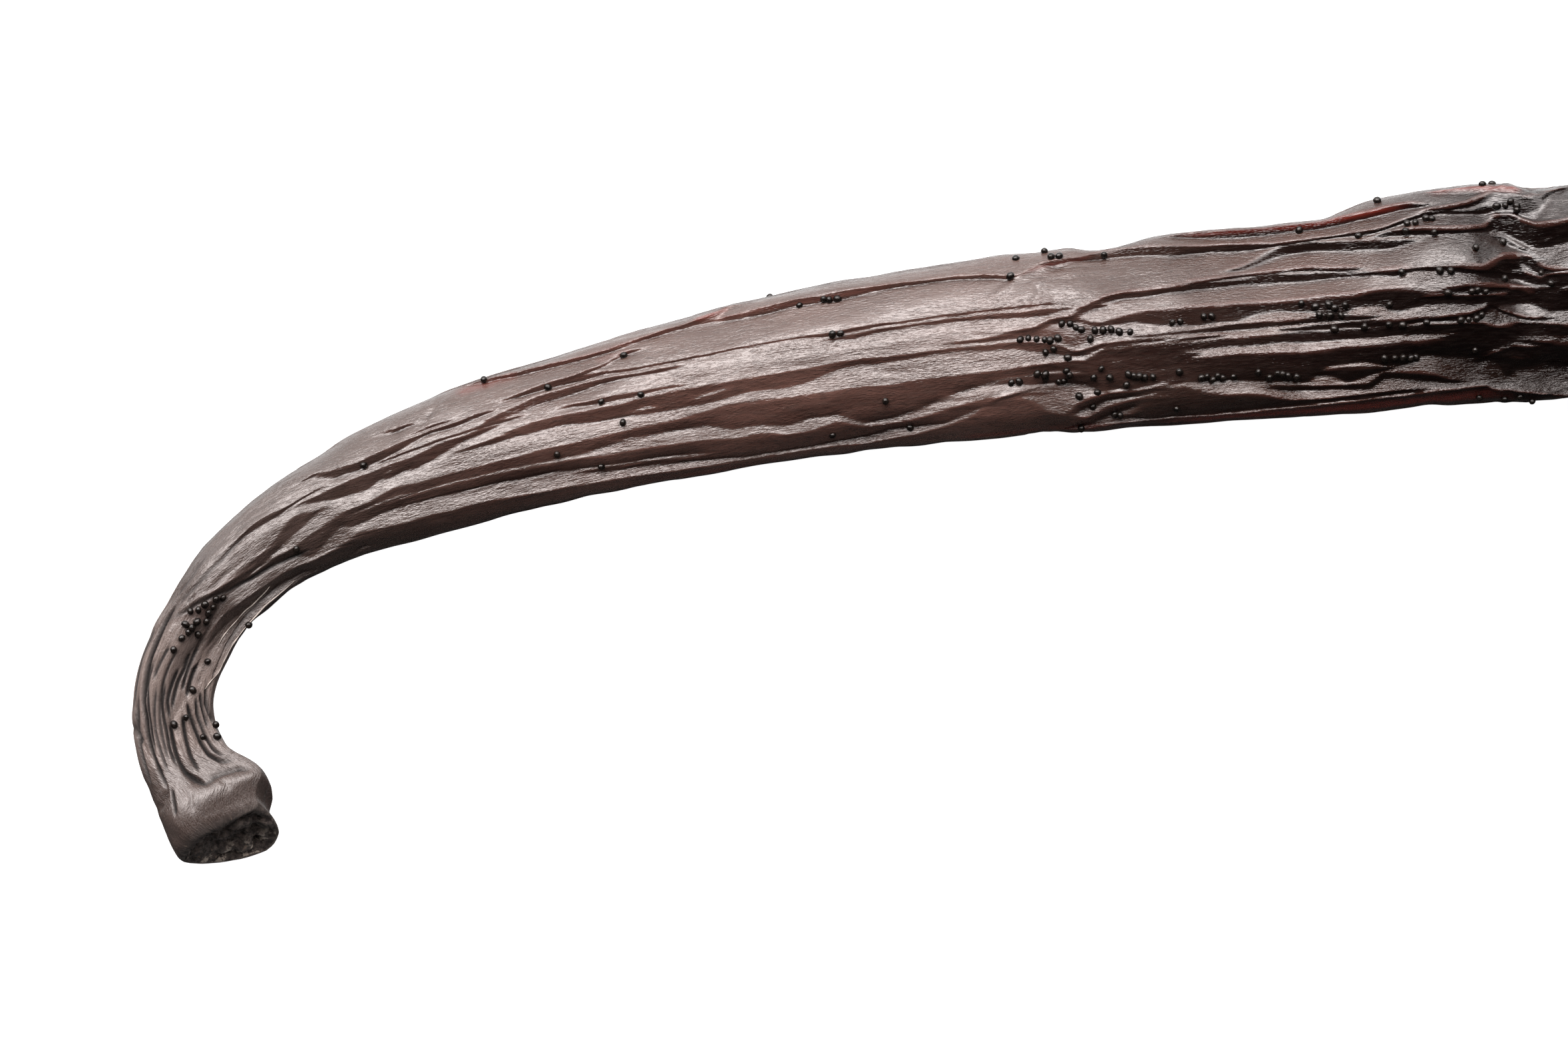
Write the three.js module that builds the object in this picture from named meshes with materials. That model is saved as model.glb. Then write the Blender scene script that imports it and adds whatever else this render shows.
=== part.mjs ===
import * as THREE from 'three';

// Cured vanilla pod, lying flat. Millimetres, +Z up, resting on z = 0.
// The stem end is hooked and flares into an oblique, slightly hollow scar. The
// body widens, flattens and runs out along +X to a blunt blossom tip. The skin is
// gathered into long pleats that drift round the pod and jog at a few creases
// where it was once bent. One closed solid.

// ---- driving dimensions -------------------------------------------------------
const LENGTH = 151.0;            // along the centreline
const START = [ 7.92, - 30.0 ];  // centre of the stem scar, before the origin shift
const ORIGIN = [ 76.16, - 18.70 ]; // middle of the pod's box in that same frame
const STEP = 0.05;               // centreline integration step

// heading of the centreline, degrees from +X, against distance from the stem scar
const HEADING = [
	[ 0, 122.8 ], [ 2, 113.1 ], [ 4, 102.3 ], [ 5.5, 82.0 ], [ 7, 64.4 ], [ 9, 54.0 ],
	[ 11, 41.5 ], [ 13.5, 29.5 ], [ 17, 21.5 ], [ 22, 15.7 ], [ 29, 12.1 ], [ 37, 7.0 ],
	[ 45, 5.7 ], [ 52, 7.7 ], [ 59.7, 3.0 ], [ 72, 1.5 ], [ 88, - 1.5 ], [ 104, - 4.0 ],
	[ 122, - 2.5 ], [ 138, 1.0 ], [ 151, 2.5 ],
];

// full width of the pod, crest to crest
const WIDTH = [
	[ 0, 4.28 ], [ 1.2, 4.12 ], [ 2.4, 3.52 ], [ 3.6, 3.08 ], [ 5.2, 2.92 ], [ 8.2, 2.88 ],
	[ 9.8, 3.12 ], [ 13.2, 3.68 ], [ 16.8, 4.50 ], [ 20.4, 4.96 ], [ 24, 5.24 ],
	[ 29.4, 5.84 ], [ 36.6, 6.36 ], [ 43.8, 6.72 ], [ 50, 7.02 ], [ 54, 7.60 ], [ 58, 7.86 ],
	[ 70, 8.05 ], [ 86, 8.15 ], [ 100, 7.95 ], [ 114, 7.45 ], [ 126, 6.70 ], [ 136, 5.70 ],
	[ 143, 4.75 ], [ 147.5, 3.95 ], [ 151, 3.20 ],
];

// thickness as a share of width: round at the neck, flattened along the body
const FLATNESS = [
	[ 0, 0.90 ], [ 3, 0.88 ], [ 8, 0.87 ], [ 14, 0.78 ], [ 22, 0.70 ], [ 36, 0.655 ],
	[ 56, 0.635 ], [ 90, 0.625 ], [ 120, 0.66 ], [ 140, 0.76 ], [ 151, 0.84 ],
];

const SIT = 0.88;                // height of the centre, in half thicknesses
const NECK_LIFT = 0.42;          // how far the neck stands clear of its bed
const SECTION_POWER = 2.3;       // superellipse exponent of the section

const PLEATS = 12;               // gathered folds round the pod
const PLEAT_DEPTH = [ [ 0, 0.02 ], [ 4, 0.045 ], [ 10, 0.06 ], [ 20, 0.085 ], [ 50, 0.105 ], [ 110, 0.105 ], [ 140, 0.09 ], [ 151, 0.03 ] ];
const PLEAT_TWIST = 0.55;        // how far the folds drift round the pod together, radians
const PLEAT_SPREAD = 0.11;       // how far they crowd and spread, radians
const UNDERSIDE_EASE = 0.45;     // share of the fold depth kept where the pod is pressed flat

const CREASES = [ 36.4, 57.6, 83.0, 109.0, 131.0 ]; // old bends across the pod
const CREASE_PINCH = 0.022;      // loss of width at a crease
const CREASE_JOG = 0.10;         // sideways jog of the folds there, radians
const CREASE_REACH = 1.5;        // length each side

const SCAR_SHEAR = 0.64;         // run-out of the scar's lower lip per mm of height
const SCAR_RUN = 6.0;            // length over which the shear dies away
const SCAR_RIM = 0.80;           // inner edge of the rim, share of the section
const SCAR_DEPTH = 0.45;         // hollow of the scar

const TIP_ROUND = 1.9;           // length of the rounded blossom end
const TIP_SCAR = 0.22;           // radius share left as a tiny flat at the very tip

// ---- curves --------------------------------------------------------------------
// smooth interpolation of a [ position, value ] table
function along( table, s ) {

	const n = table.length;
	if ( s <= table[ 0 ][ 0 ] ) return table[ 0 ][ 1 ];
	if ( s >= table[ n - 1 ][ 0 ] ) return table[ n - 1 ][ 1 ];
	let i = 0;
	while ( table[ i + 1 ][ 0 ] <= s ) i ++;
	const step = k => table[ k + 1 ][ 0 ] - table[ k ][ 0 ];
	const rise = k => ( table[ k + 1 ][ 1 ] - table[ k ][ 1 ] ) / step( k );
	const slope = k => k === 0 ? rise( 0 ) : k === n - 1 ? rise( n - 2 )
		: ( step( k ) * rise( k - 1 ) + step( k - 1 ) * rise( k ) ) / ( step( k ) + step( k - 1 ) );
	const h = step( i );
	const t = ( s - table[ i ][ 0 ] ) / h;
	return ( 2 * t ** 3 - 3 * t ** 2 + 1 ) * table[ i ][ 1 ] + ( t ** 3 - 2 * t ** 2 + t ) * h * slope( i )
		+ ( - 2 * t ** 3 + 3 * t ** 2 ) * table[ i + 1 ][ 1 ] + ( t ** 3 - t ** 2 ) * h * slope( i + 1 );

}

const ease = t => { const c = Math.min( 1, Math.max( 0, t ) ); return c * c * ( 3 - 2 * c ); };

// the centreline, integrated from its heading
const line = [];
{

	let x = START[ 0 ] - ORIGIN[ 0 ];
	let y = START[ 1 ] - ORIGIN[ 1 ];
	line.push( [ x, y ] );
	for ( let i = 0; i < LENGTH / STEP; i ++ ) {

		const a = THREE.MathUtils.degToRad( along( HEADING, ( i + 0.5 ) * STEP ) );
		x += Math.cos( a ) * STEP;
		y += Math.sin( a ) * STEP;
		line.push( [ x, y ] );

	}

}

function frameAt( s ) {

	const f = Math.min( Math.max( s / STEP, 0 ), line.length - 1.001 );
	const i = Math.floor( f );
	const t = f - i;
	const a = THREE.MathUtils.degToRad( along( HEADING, s ) );
	return {
		x: line[ i ][ 0 ] * ( 1 - t ) + line[ i + 1 ][ 0 ] * t,
		y: line[ i ][ 1 ] * ( 1 - t ) + line[ i + 1 ][ 1 ] * t,
		tangent: [ Math.cos( a ), Math.sin( a ) ],
		side: [ - Math.sin( a ), Math.cos( a ) ],
	};

}

// ---- the section ----------------------------------------------------------------
// four columns to a fold: valley, rising face, crest, steep face
const FOLD = [ [ 0.0, 1.0 ], [ 0.34, 0.45 ], [ 0.70, 0.0 ], [ 0.88, 0.42 ] ];

function crease( s ) {

	let pinch = 0;
	let jog = 0;
	CREASES.forEach( ( c, i ) => {

		const d = ( s - c ) / CREASE_REACH;
		pinch += CREASE_PINCH * Math.exp( - d * d );
		jog += CREASE_JOG * ( i % 2 ? - 1 : 1 ) * Math.tanh( d * 1.6 ) * Math.exp( - d * d * 0.12 );

	} );
	return { pinch, jog };

}

function sectionAt( s ) {

	const { pinch, jog } = crease( s );
	const halfWidth = along( WIDTH, s ) / 2 * ( 1 - pinch );
	const halfHeight = halfWidth * along( FLATNESS, s );
	const lift = NECK_LIFT * Math.exp( - Math.pow( ( s - 8 ) / 4.2, 2 ) );
	const centre = halfHeight * SIT + lift;
	const depth = along( PLEAT_DEPTH, s );
	const columns = [];
	for ( let k = 0; k < PLEATS; k ++ ) {

		// each fold has its own weight; the drift changes slowly round the pod, so folds never cross
		const weight = 0.78 + 0.34 * Math.sin( 2.4 * k + 0.045 * s + 0.6 );
		for ( const [ u, fall ] of FOLD ) {

			const base = ( k + u ) / PLEATS * 2 * Math.PI;
			const angle = base + PLEAT_TWIST * ( 0.6 * Math.sin( s / 38 ) + 0.5 * s / LENGTH )
				+ PLEAT_SPREAD * ( Math.sin( 2 * base + s / 31 ) + 0.5 * Math.sin( 3 * base - s / 22 + 1 ) )
				+ jog * ( 0.8 + 0.2 * Math.sin( base + s / 20 ) );
			const c = Math.cos( angle );
			const q = Math.sin( angle );
			const under = ease( ( - q - 0.35 ) / 0.5 );
			const keep = 1 - ( 1 - UNDERSIDE_EASE ) * under;
			const r = 1 - depth * weight * fall * keep;
			const grow = 1 / Math.pow( Math.pow( Math.abs( c ), SECTION_POWER ) + Math.pow( Math.abs( q ), SECTION_POWER ), 1 / SECTION_POWER );
			columns.push( [ halfWidth * grow * c * r, halfHeight * grow * q * r ] );

		}

	}

	return { columns, centre, halfWidth };

}

// ---- stations along the pod --------------------------------------------------------
const stations = [];
for ( let s = 0; s < LENGTH - TIP_ROUND - 0.4; ) {

	stations.push( s );
	s += s < 5.9 ? 0.6 : s < 20 ? 1.05 : 1.85;

}

const tipStart = LENGTH - TIP_ROUND;
const TIP_RINGS = 5;
for ( let i = 0; i <= TIP_RINGS; i ++ ) {

	// quarter-round closing profile
	const a = i / TIP_RINGS * Math.PI / 2 * 0.93;
	stations.push( tipStart + TIP_ROUND * Math.sin( a ) );

}

// ---- mesh -----------------------------------------------------------------------------
const COLUMNS = PLEATS * FOLD.length;
const position = [];
const index = [];

function place( s, a, z, sectionCentre ) {

	// a runs across the pod, z up; the scar end is sheared so its lower lip runs out
	const f = frameAt( s );
	const shear = SCAR_SHEAR * ( 1 - ease( s / SCAR_RUN ) );
	const out = shear * ( sectionCentre - z );
	position.push( f.x + f.side[ 0 ] * a - f.tangent[ 0 ] * out, f.y + f.side[ 1 ] * a - f.tangent[ 1 ] * out, z );

}

for ( const s of stations ) {

	const { columns, centre } = sectionAt( s );
	const closing = s > tipStart ? Math.sqrt( Math.max( 0, 1 - ( ( s - tipStart ) / TIP_ROUND ) ** 2 ) ) : 1;
	const scale = Math.max( closing, TIP_SCAR );
	for ( const [ a, h ] of columns ) place( s, a * scale, Math.max( 0, centre + h * scale ), centre );

}

const last = stations.length - 1;
for ( let r = 0; r < last; r ++ ) {

	for ( let c = 0; c < COLUMNS; c ++ ) {

		const d = ( c + 1 ) % COLUMNS;
		const a0 = r * COLUMNS + c;
		const b0 = r * COLUMNS + d;
		const a1 = a0 + COLUMNS;
		const b1 = b0 + COLUMNS;
		index.push( a0, b0, a1, b0, b1, a1 );

	}

}

// stem scar: a rim, then a shallow hollow
{

	const { columns, centre } = sectionAt( 0 );
	const f = frameAt( 0 );
	const rim = position.length / 3;
	for ( const [ a, h ] of columns ) {

		const ai = a * SCAR_RIM;
		const zi = Math.max( 0, centre + h ) * SCAR_RIM + centre * ( 1 - SCAR_RIM );
		const out = SCAR_SHEAR * ( centre - zi ) - SCAR_DEPTH * 0.55;
		position.push( f.x + f.side[ 0 ] * ai - f.tangent[ 0 ] * out, f.y + f.side[ 1 ] * ai - f.tangent[ 1 ] * out, zi );

	}

	const hub = position.length / 3;
	position.push( f.x + f.tangent[ 0 ] * SCAR_DEPTH, f.y + f.tangent[ 1 ] * SCAR_DEPTH, centre );
	for ( let c = 0; c < COLUMNS; c ++ ) {

		const d = ( c + 1 ) % COLUMNS;
		index.push( d, c, rim + c, d, rim + c, rim + d );
		index.push( rim + d, rim + c, hub );

	}

}

// blossom tip: a tiny flat
{

	const f = frameAt( LENGTH );
	const { centre } = sectionAt( LENGTH );
	const hub = position.length / 3;
	position.push( f.x, f.y, centre );
	const base = last * COLUMNS;
	for ( let c = 0; c < COLUMNS; c ++ ) {

		const d = ( c + 1 ) % COLUMNS;
		index.push( base + c, base + d, hub );

	}

}

const geometry = new THREE.BufferGeometry();
geometry.setAttribute( 'position', new THREE.Float32BufferAttribute( position, 3 ) );
geometry.setIndex( index );
geometry.computeVertexNormals();

const skin = new THREE.MeshStandardMaterial( { color: 0x3a2822, roughness: 0.45, metalness: 0.0 } );

const pod = new THREE.Mesh( geometry, skin );
pod.name = 'pod';

const vanillaPod = new THREE.Group();
vanillaPod.add( pod );

export default vanillaPod;
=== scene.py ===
import math

import bpy
import numpy as np
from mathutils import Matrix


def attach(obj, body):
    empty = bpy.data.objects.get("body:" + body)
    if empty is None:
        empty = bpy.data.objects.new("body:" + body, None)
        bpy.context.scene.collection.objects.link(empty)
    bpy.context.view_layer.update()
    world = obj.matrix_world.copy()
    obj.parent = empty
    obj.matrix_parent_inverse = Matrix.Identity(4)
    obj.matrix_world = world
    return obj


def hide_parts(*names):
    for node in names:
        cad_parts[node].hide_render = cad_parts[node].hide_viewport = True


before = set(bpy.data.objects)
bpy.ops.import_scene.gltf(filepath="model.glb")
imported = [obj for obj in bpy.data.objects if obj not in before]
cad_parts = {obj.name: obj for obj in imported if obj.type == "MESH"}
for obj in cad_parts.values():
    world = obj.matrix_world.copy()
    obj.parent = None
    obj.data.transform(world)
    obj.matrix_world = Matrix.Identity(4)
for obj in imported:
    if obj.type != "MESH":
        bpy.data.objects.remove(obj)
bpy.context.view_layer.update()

# =============================================================================
# Cured vanilla pod, lying flat. The skin is one closed mesh, lofted round the
# same centreline as the CAD solid. All lengths below are in millimetres, or in
# units of PX = 0.024 mm where a table says so; the mesh is written in metres.
# =============================================================================
PX = 0.024
LENGTH = 151.0
START = (7.92, -30.0)
ORIGIN = (76.16, -18.70)
STEP = 0.05
CAMERA_AT = (-47.888, -0.116)      # what the middle of the picture looks at
CAMERA_HIGH = 251.3                # lens to the widest line of the pod
LEVEL = 2.5

HEADING = [(0, 122.8), (2, 113.1), (4, 102.3), (5.5, 82.0), (7, 64.4), (9, 54.0),
           (11, 41.5), (13.5, 29.5), (17, 21.5), (22, 15.7), (29, 12.1), (37, 7.0),
           (45, 5.7), (52, 7.7), (59.7, 3.0), (72, 1.5), (88, -1.5), (104, -4.0),
           (122, -2.5), (138, 1.0), (151, 2.5)]
WIDTH = [(0, 4.28), (1.2, 4.12), (2.4, 3.52), (3.6, 3.08), (5.2, 2.92), (8.2, 2.88),
         (9.8, 3.12), (13.2, 3.68), (16.8, 4.50), (20.4, 4.96), (24, 5.24), (29.4, 5.84),
         (36.6, 6.36), (43.8, 6.72), (50, 7.02), (54, 7.60), (58, 7.86), (70, 8.05),
         (86, 8.15), (100, 7.95), (114, 7.45), (126, 6.70), (136, 5.70), (143, 4.75),
         (147.5, 3.95), (151, 3.20)]
FLATNESS = [(0, .90), (3, .88), (8, .87), (14, .78), (22, .70), (36, .655), (56, .635),
            (90, .625), (120, .66), (140, .76), (151, .84)]
SIT = 0.88
NECK_LIFT = 0.42
SECTION_POWER = 2.3
TIP_ROUND = 1.9
CREASES = (36.4, 57.6, 83.0, 109.0, 131.0)

# the two outlines of the stretch that shows, each side of the centreline (s, +side, -side), PX
OUTLINE = [(0, 76, 78), (11, 76, 76), (25, 75, 77), (40, 73, 85), (52, 72, 97), (66, 71, 100), (81, 70, 98),
           (99, 70, 86), (112, 71, 75), (125, 72, 66), (150, 71, 59), (200, 67, 56), (250, 65, 57), (300, 63, 58), (340, 62, 56),
           (380, 65, 58), (420, 69, 65), (460, 70, 66), (500, 73, 68), (540, 77, 73), (580, 80, 77),
           (620, 83, 82), (660, 90, 88), (700, 94, 94), (740, 97, 97), (780, 100, 100),
           (820, 104, 102), (860, 105, 102), (900, 106, 104), (940, 106, 107), (980, 107, 107),
           (1020, 110, 111), (1060, 113, 112), (1100, 116, 114), (1140, 117, 117), (1180, 119, 120),
           (1220, 122, 120), (1260, 125, 121), (1300, 125, 123), (1340, 127, 124), (1380, 129, 127),
           (1420, 131, 126), (1460, 130, 128), (1500, 132, 131), (1540, 133, 131), (1580, 135, 134),
           (1620, 137, 135), (1660, 139, 134), (1700, 137, 132), (1740, 138, 138), (1760, 138, 139),
           (1790, 132, 139), (1820, 132, 138), (1850, 137, 139), (1880, 143, 141), (1910, 145, 142),
           (1940, 145, 143), (1970, 145, 143), (2000, 144, 145), (2030, 142, 147), (2060, 141, 149),
           (2090, 141, 151), (2120, 140, 153), (2150, 140, 156), (2180, 148, 158), (2210, 156, 158),
           (2240, 160, 158), (2270, 162, 157), (2300, 164, 161), (2330, 165, 162), (2360, 166, 163),
           (2390, 165, 164), (2420, 160, 167), (2450, 151, 166), (2490, 152, 165)]

# Each pleat has one face turned away from the light: (s, its crest, its valley), PX.
# The rest of the skin leans the other way, down to the next crest.
PLEATS = {
    "a2": [(843, 104, 102), (876, 103, 98), (900, 102, 97), (923, 100, 94), (956, 99, 92), (989, 98, 91),
           (1026, 98, 91), (1057, 98, 92), (1084, 100, 94), (1111, 103, 98), (1136, 106, 100),
           (1160, 108, 102), (1187, 111, 102), (1214, 114, 104), (1231, 117, 106), (1250, 123, 119)],
    "b2h": [(989, 71, 69), (1010, 74, 68), (1028, 76, 70), (1052, 79, 74), (1070, 84, 80), (1081, 89, 84),
           (1098, 89, 85)],
    "b0a": [(716, 77, 75), (729, 76, 69), (743, 75, 71)],
    "b0b": [(761, 59, 57), (770, 60, 57), (782, 62, 58), (806, 60, 57)],
    "a3": [(1205, 104, 103), (1260, 108, 99), (1300, 112, 100), (1340, 114, 103), (1380, 114, 102),
           (1420, 115, 102), (1460, 114, 106), (1500, 114, 109), (1580, 114, 109), (1620, 113, 106),
           (1648, 109, 103), (1664, 106, 99), (1680, 107, 101), (1692, 112, 105), (1712, 120, 113),
           (1741, 123, 115), (1760, 124, 117), (1790, 127, 117), (1820, 129, 116), (1850, 129, 117),
           (1880, 128, 115), (1910, 127, 110), (1940, 122, 112), (1970, 120, 111), (2000, 119, 108),
           (2030, 115, 107), (2060, 113, 107), (2090, 112, 108), (2180, 112, 108), (2210, 113, 106),
           (2233, 115, 111), (2264, 124, 118), (2294, 129, 125), (2315, 129, 126), (2337, 127, 122),
           (2361, 126, 120), (2377, 131, 117), (2390, 137, 119), (2404, 146, 117), (2415, 157, 116),
           (2425, 148, 114), (2435, 142, 110), (2447, 140, 106), (2460, 141, 115), (2468, 143, 129),
           (2475, 146, 139), (2488, 149, 145), (2504, 151, 149), (2535, 154, 151)],
    "a3b": [(2232, 105, 100), (2258, 108, 99), (2269, 107, 99), (2294, 106, 96), (2305, 104, 95),
           (2325, 101, 94), (2346, 98, 93), (2354, 97, 93), (2378, 98, 93), (2388, 111, 93),
           (2402, 114, 88), (2416, 112, 80), (2433, 104, 70), (2445, 98, 63), (2460, 96, 68),
           (2475, 98, 73), (2501, 102, 80), (2532, 103, 82)],
    "x1": [(2390, 83, 81), (2399, 84, 79), (2410, 77, 69), (2425, 67, 60), (2439, 60, 53),
           (2456, 47, 44)],
    "x2": [(2444, 62, 60), (2464, 67, 62), (2482, 75, 66), (2500, 78, 69), (2531, 81, 71)],
    "x3": [(2331, 38, 36), (2348, 36, 33), (2363, 34, 29), (2373, 33, 27), (2381, 33, 25),
           (2394, 40, 20), (2411, 40, 19), (2422, 36, 17), (2435, 24, 9), (2453, 18, 4), (2472, 21, 3),
           (2497, 23, 2), (2528, 23, 1)],
    "a4": [(1911, 140, 138), (1939, 143, 134), (1973, 142, 131), (2008, 140, 128), (2059, 139, 126),
           (2093, 137, 126), (2127, 136, 126), (2161, 137, 127), (2194, 140, 131), (2227, 142, 134),
           (2260, 145, 137), (2276, 146, 138), (2292, 142, 139)],
    "a5": [(2310, 158, 156), (2330, 159, 154), (2360, 162, 150), (2390, 161, 152), (2430, 150, 146)],
    "a6": [(2302, 133, 132), (2316, 133, 131), (2333, 133, 129), (2357, 136, 130), (2381, 145, 136),
           (2402, 153, 147), (2415, 160, 157)],
    "b1": [(890, 64, 63), (940, 70, 63), (980, 73, 63), (1020, 68, 62), (1050, 69, 63), (1080, 63, 60),
           (1140, 60, 57), (1210, 58, 56), (1340, 57, 55), (1380, 55, 51), (1420, 57, 52), (1460, 57, 54),
           (1500, 57, 56), (1600, 58, 56), (1700, 60, 56), (1720, 59, 58)],
    "b2": [(855, 36, 33), (860, 43, 34), (900, 50, 39), (940, 57, 43), (980, 58, 44), (1020, 59, 48),
           (1060, 57, 51), (1100, 52, 49), (1140, 52, 46), (1160, 50, 48)],
    "b3": [(600, 60, 56), (620, 54, 42), (660, 48, 37), (700, 50, 38), (740, 53, 43), (780, 54, 50),
           (820, 54, 47), (850, 56, 50), (870, 55, 53)],
    "b3h": [(700, 36, 34), (850, 36, 34), (900, 36, 32), (920, 34, 33)],
    "b4": [(570, 31, 29), (580, 29, 23), (620, 29, 10), (660, 28, 4), (690, 28, 14), (700, 28, 20),
           (720, 27, 12), (740, 26, 5), (780, 30, 13), (820, 30, 23), (860, 31, 26), (870, 30, 28)],
    "b4b": [(690, 15, 12), (700, 16, 6), (716, 14, 10)],
    "b5": [(825, 11, 9), (860, 13, 6), (900, 17, 7), (940, 21, 5), (980, 19, 4), (1020, 16, -3),
           (1060, 14, -4), (1100, 14, 2), (1140, 15, -12), (1180, 13, 0), (1220, 10, 3), (1260, 11, -11),
           (1300, 9, -14), (1340, 9, -13), (1380, 9, -2), (1420, 9, 2), (1460, 7, -1), (1500, 6, -1),
           (1540, 6, 2), (1580, 6, 3), (1620, 5, -1), (1654, 6, -3), (1679, 3, -8), (1699, -1, -13), (1721, -6, -18),
           (1735, -11, -21), (1749, -20, -24)],
    "b6": [(975, 30, 29), (985, 31, 28), (1020, 30, 24), (1060, 29, 21), (1100, 26, 21), (1160, 21, 20)],
    "b7": [(1070, -3, -5), (1100, -3, -11), (1180, -5, -13), (1220, -1, -12), (1245, 0, -11)],
    "b8": [(1385, 46, 45), (1395, 46, 44), (1420, 46, 41), (1460, 49, 45), (1500, 50, 48), (1580, 51, 47),
           (1660, 51, 42), (1700, 51, 39), (1730, 50, 44), (1745, 49, 47)],
    "b9": [(1570, 15, 14), (1620, 16, 12), (1643, 18, 13), (1668, 22, 14), (1694, 24, 17), (1712, 31, 23),
           (1720, 34, 26), (1732, 35, 28), (1750, 35, 28), (1761, 44, 32), (1777, 51, 43)],
    "_p1": [(1686, 15, 9), (1712, 22, 2), (1735, 27, -4), (1750, 26, -10), (1765, 22, -8), (1776, 16, -5)],
    "b10": [(1777, 51, 43), (1796, 60, 50), (1830, 63, 54), (1863, 63, 55), (1897, 64, 57),
           (1931, 65, 57), (1965, 65, 57), (1998, 65, 57), (2033, 65, 54), (2066, 65, 53),
           (2100, 62, 50), (2133, 59, 49), (2166, 55, 48), (2183, 52, 47), (2210, 51, 46),
           (2240, 50, 40), (2275, 48, 45), (2300, 47, 42), (2312, 46, 41), (2331, 45, 38),
           (2349, 44, 36), (2363, 41, 34), (2374, 39, 34), (2381, 42, 34), (2394, 48, 41),
           (2404, 53, 41), (2411, 54, 40), (2422, 55, 37), (2436, 51, 29), (2448, 44, 25),
           (2455, 39, 23), (2472, 30, 25), (2498, 29, 26), (2529, 29, 26)],
    "b11": [(1931, 70, 67), (1999, 71, 68), (2050, 71, 68), (2084, 71, 67), (2117, 69, 64), (2151, 65, 60),
           (2184, 59, 55)],
    "b12": [(1990, 80, 79), (2014, 83, 79), (2036, 91, 83), (2057, 101, 89), (2079, 105, 94), (2106, 105, 94),
           (2133, 105, 93), (2173, 102, 87), (2206, 99, 83), (2238, 94, 81), (2262, 92, 86)],
    "c1": [(1762, 31, 25), (1781, 23, 17), (1794, 23, 17), (1819, 26, 17), (1845, 31, 18),
           (1868, 33, 14), (1880, 32, 10), (1910, 32, 7), (1940, 32, 3), (1970, 30, 5), (2000, 29, 3),
           (2030, 26, 11), (2060, 24, 12), (2090, 24, 6), (2120, 24, 0), (2150, 22, -10),
           (2180, 21, 3), (2210, 24, 0), (2240, 22, -15), (2270, 15, -5), (2295, 9, 2), (2321, 13, 3),
           (2347, 15, 2), (2371, 11, 1), (2396, 8, 2), (2406, 7, 2), (2418, 7, 5)],
    "c2z": [(1756, -18, -21), (1766, -17, -22), (1791, -11, -17), (1816, -10, -15), (1841, -11, -15), (1891, -12, -15),
            (1966, -15, -18)],
    "c2a": [(1830, -3, -4), (1850, -3, -6), (1940, -3, -7), (2000, -1, -9), (2030, -2, -10), (2060, -5, -11),
            (2090, -6, -13), (2120, -3, -14), (2180, -12, -18), (2200, -15, -18)],
    "c2b": [(2060, -17, -19), (2090, -18, -22), (2120, -19, -24), (2150, -20, -27), (2210, -23, -32),
           (2240, -26, -34), (2266, -27, -32), (2291, -29, -35), (2324, -30, -37), (2347, -28, -35),
           (2368, -22, -29), (2382, -17, -22)],
    "c2d": [(2256, -3, -9), (2277, 2, -8), (2307, 1, -9), (2332, -1, -12), (2345, -3, -14),
           (2359, -3, -16), (2375, -4, -14), (2399, -4, -17), (2418, 3, -17), (2437, 3, -19),
           (2451, 1, -28), (2466, 0, -30), (2495, -1, -32), (2527, -2, -33)],
    "c2c": [(1805, -20, -24), (1820, -20, -31), (1880, -21, -34), (1910, -21, -31), (1940, -22, -32),
           (1970, -21, -31), (2000, -22, -34), (2030, -22, -35), (2060, -24, -36), (2090, -25, -40),
           (2120, -28, -41), (2150, -30, -43), (2180, -33, -45), (2210, -35, -47), (2240, -38, -48),
           (2264, -38, -50), (2289, -40, -52), (2315, -42, -53), (2335, -43, -53), (2350, -44, -54),
           (2359, -44, -67), (2367, -45, -85), (2376, -49, -85), (2389, -52, -82), (2410, -49, -77),
           (2417, -48, -76), (2431, -50, -67), (2442, -51, -67), (2454, -52, -67), (2493, -55, -69),
           (2525, -56, -70)],
    "c4": [(1806, -44, -74), (1822, -34, -82), (1850, -36, -79), (1880, -44, -78), (1910, -45, -78),
           (1940, -46, -79), (1970, -47, -81), (2000, -47, -85), (2030, -49, -89), (2060, -51, -93),
           (2090, -55, -99), (2120, -56, -80), (2150, -56, -80), (2180, -58, -82), (2210, -60, -92),
           (2240, -60, -93), (2260, -62, -81), (2286, -63, -84), (2306, -60, -89), (2314, -58, -90),
           (2324, -57, -91), (2335, -55, -92), (2342, -55, -93), (2350, -54, -93), (2357, -65, -93),
           (2368, -88, -90)],
    "c4b": [(2130, -86, -95), (2150, -87, -109), (2180, -89, -102), (2200, -93, -99)],
    "l1a": [(397, -5, -7), (436, -13, -18), (475, -17, -23), (503, -20, -27), (520, -20, -34),
           (540, -19, -48), (580, -15, -35), (620, -11, -20), (660, -14, -19), (700, -8, -21),
           (740, -15, -28), (780, -17, -29), (820, -19, -33), (860, -21, -35), (900, -23, -38),
           (940, -23, -41), (980, -26, -44), (1020, -26, -42), (1060, -27, -38), (1100, -28, -42),
           (1140, -28, -43), (1180, -26, -44), (1220, -23, -60), (1260, -26, -62), (1300, -29, -70),
           (1340, -31, -66), (1380, -33, -67), (1420, -32, -86), (1460, -35, -84), (1500, -34, -77),
           (1540, -35, -65), (1580, -35, -57), (1612, -35, -50), (1637, -34, -47), (1675, -34, -45),
           (1695, -33, -43), (1720, -34, -43), (1746, -33, -45), (1763, -35, -52), (1774, -30, -60),
           (1790, -22, -70), (1805, -19, -75), (1814, -20, -60)],
    "_p2": [(1650, -48, -56), (1690, -48, -62), (1730, -47, -60), (1765, -54, -70), (1785, -66, -82)],
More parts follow.
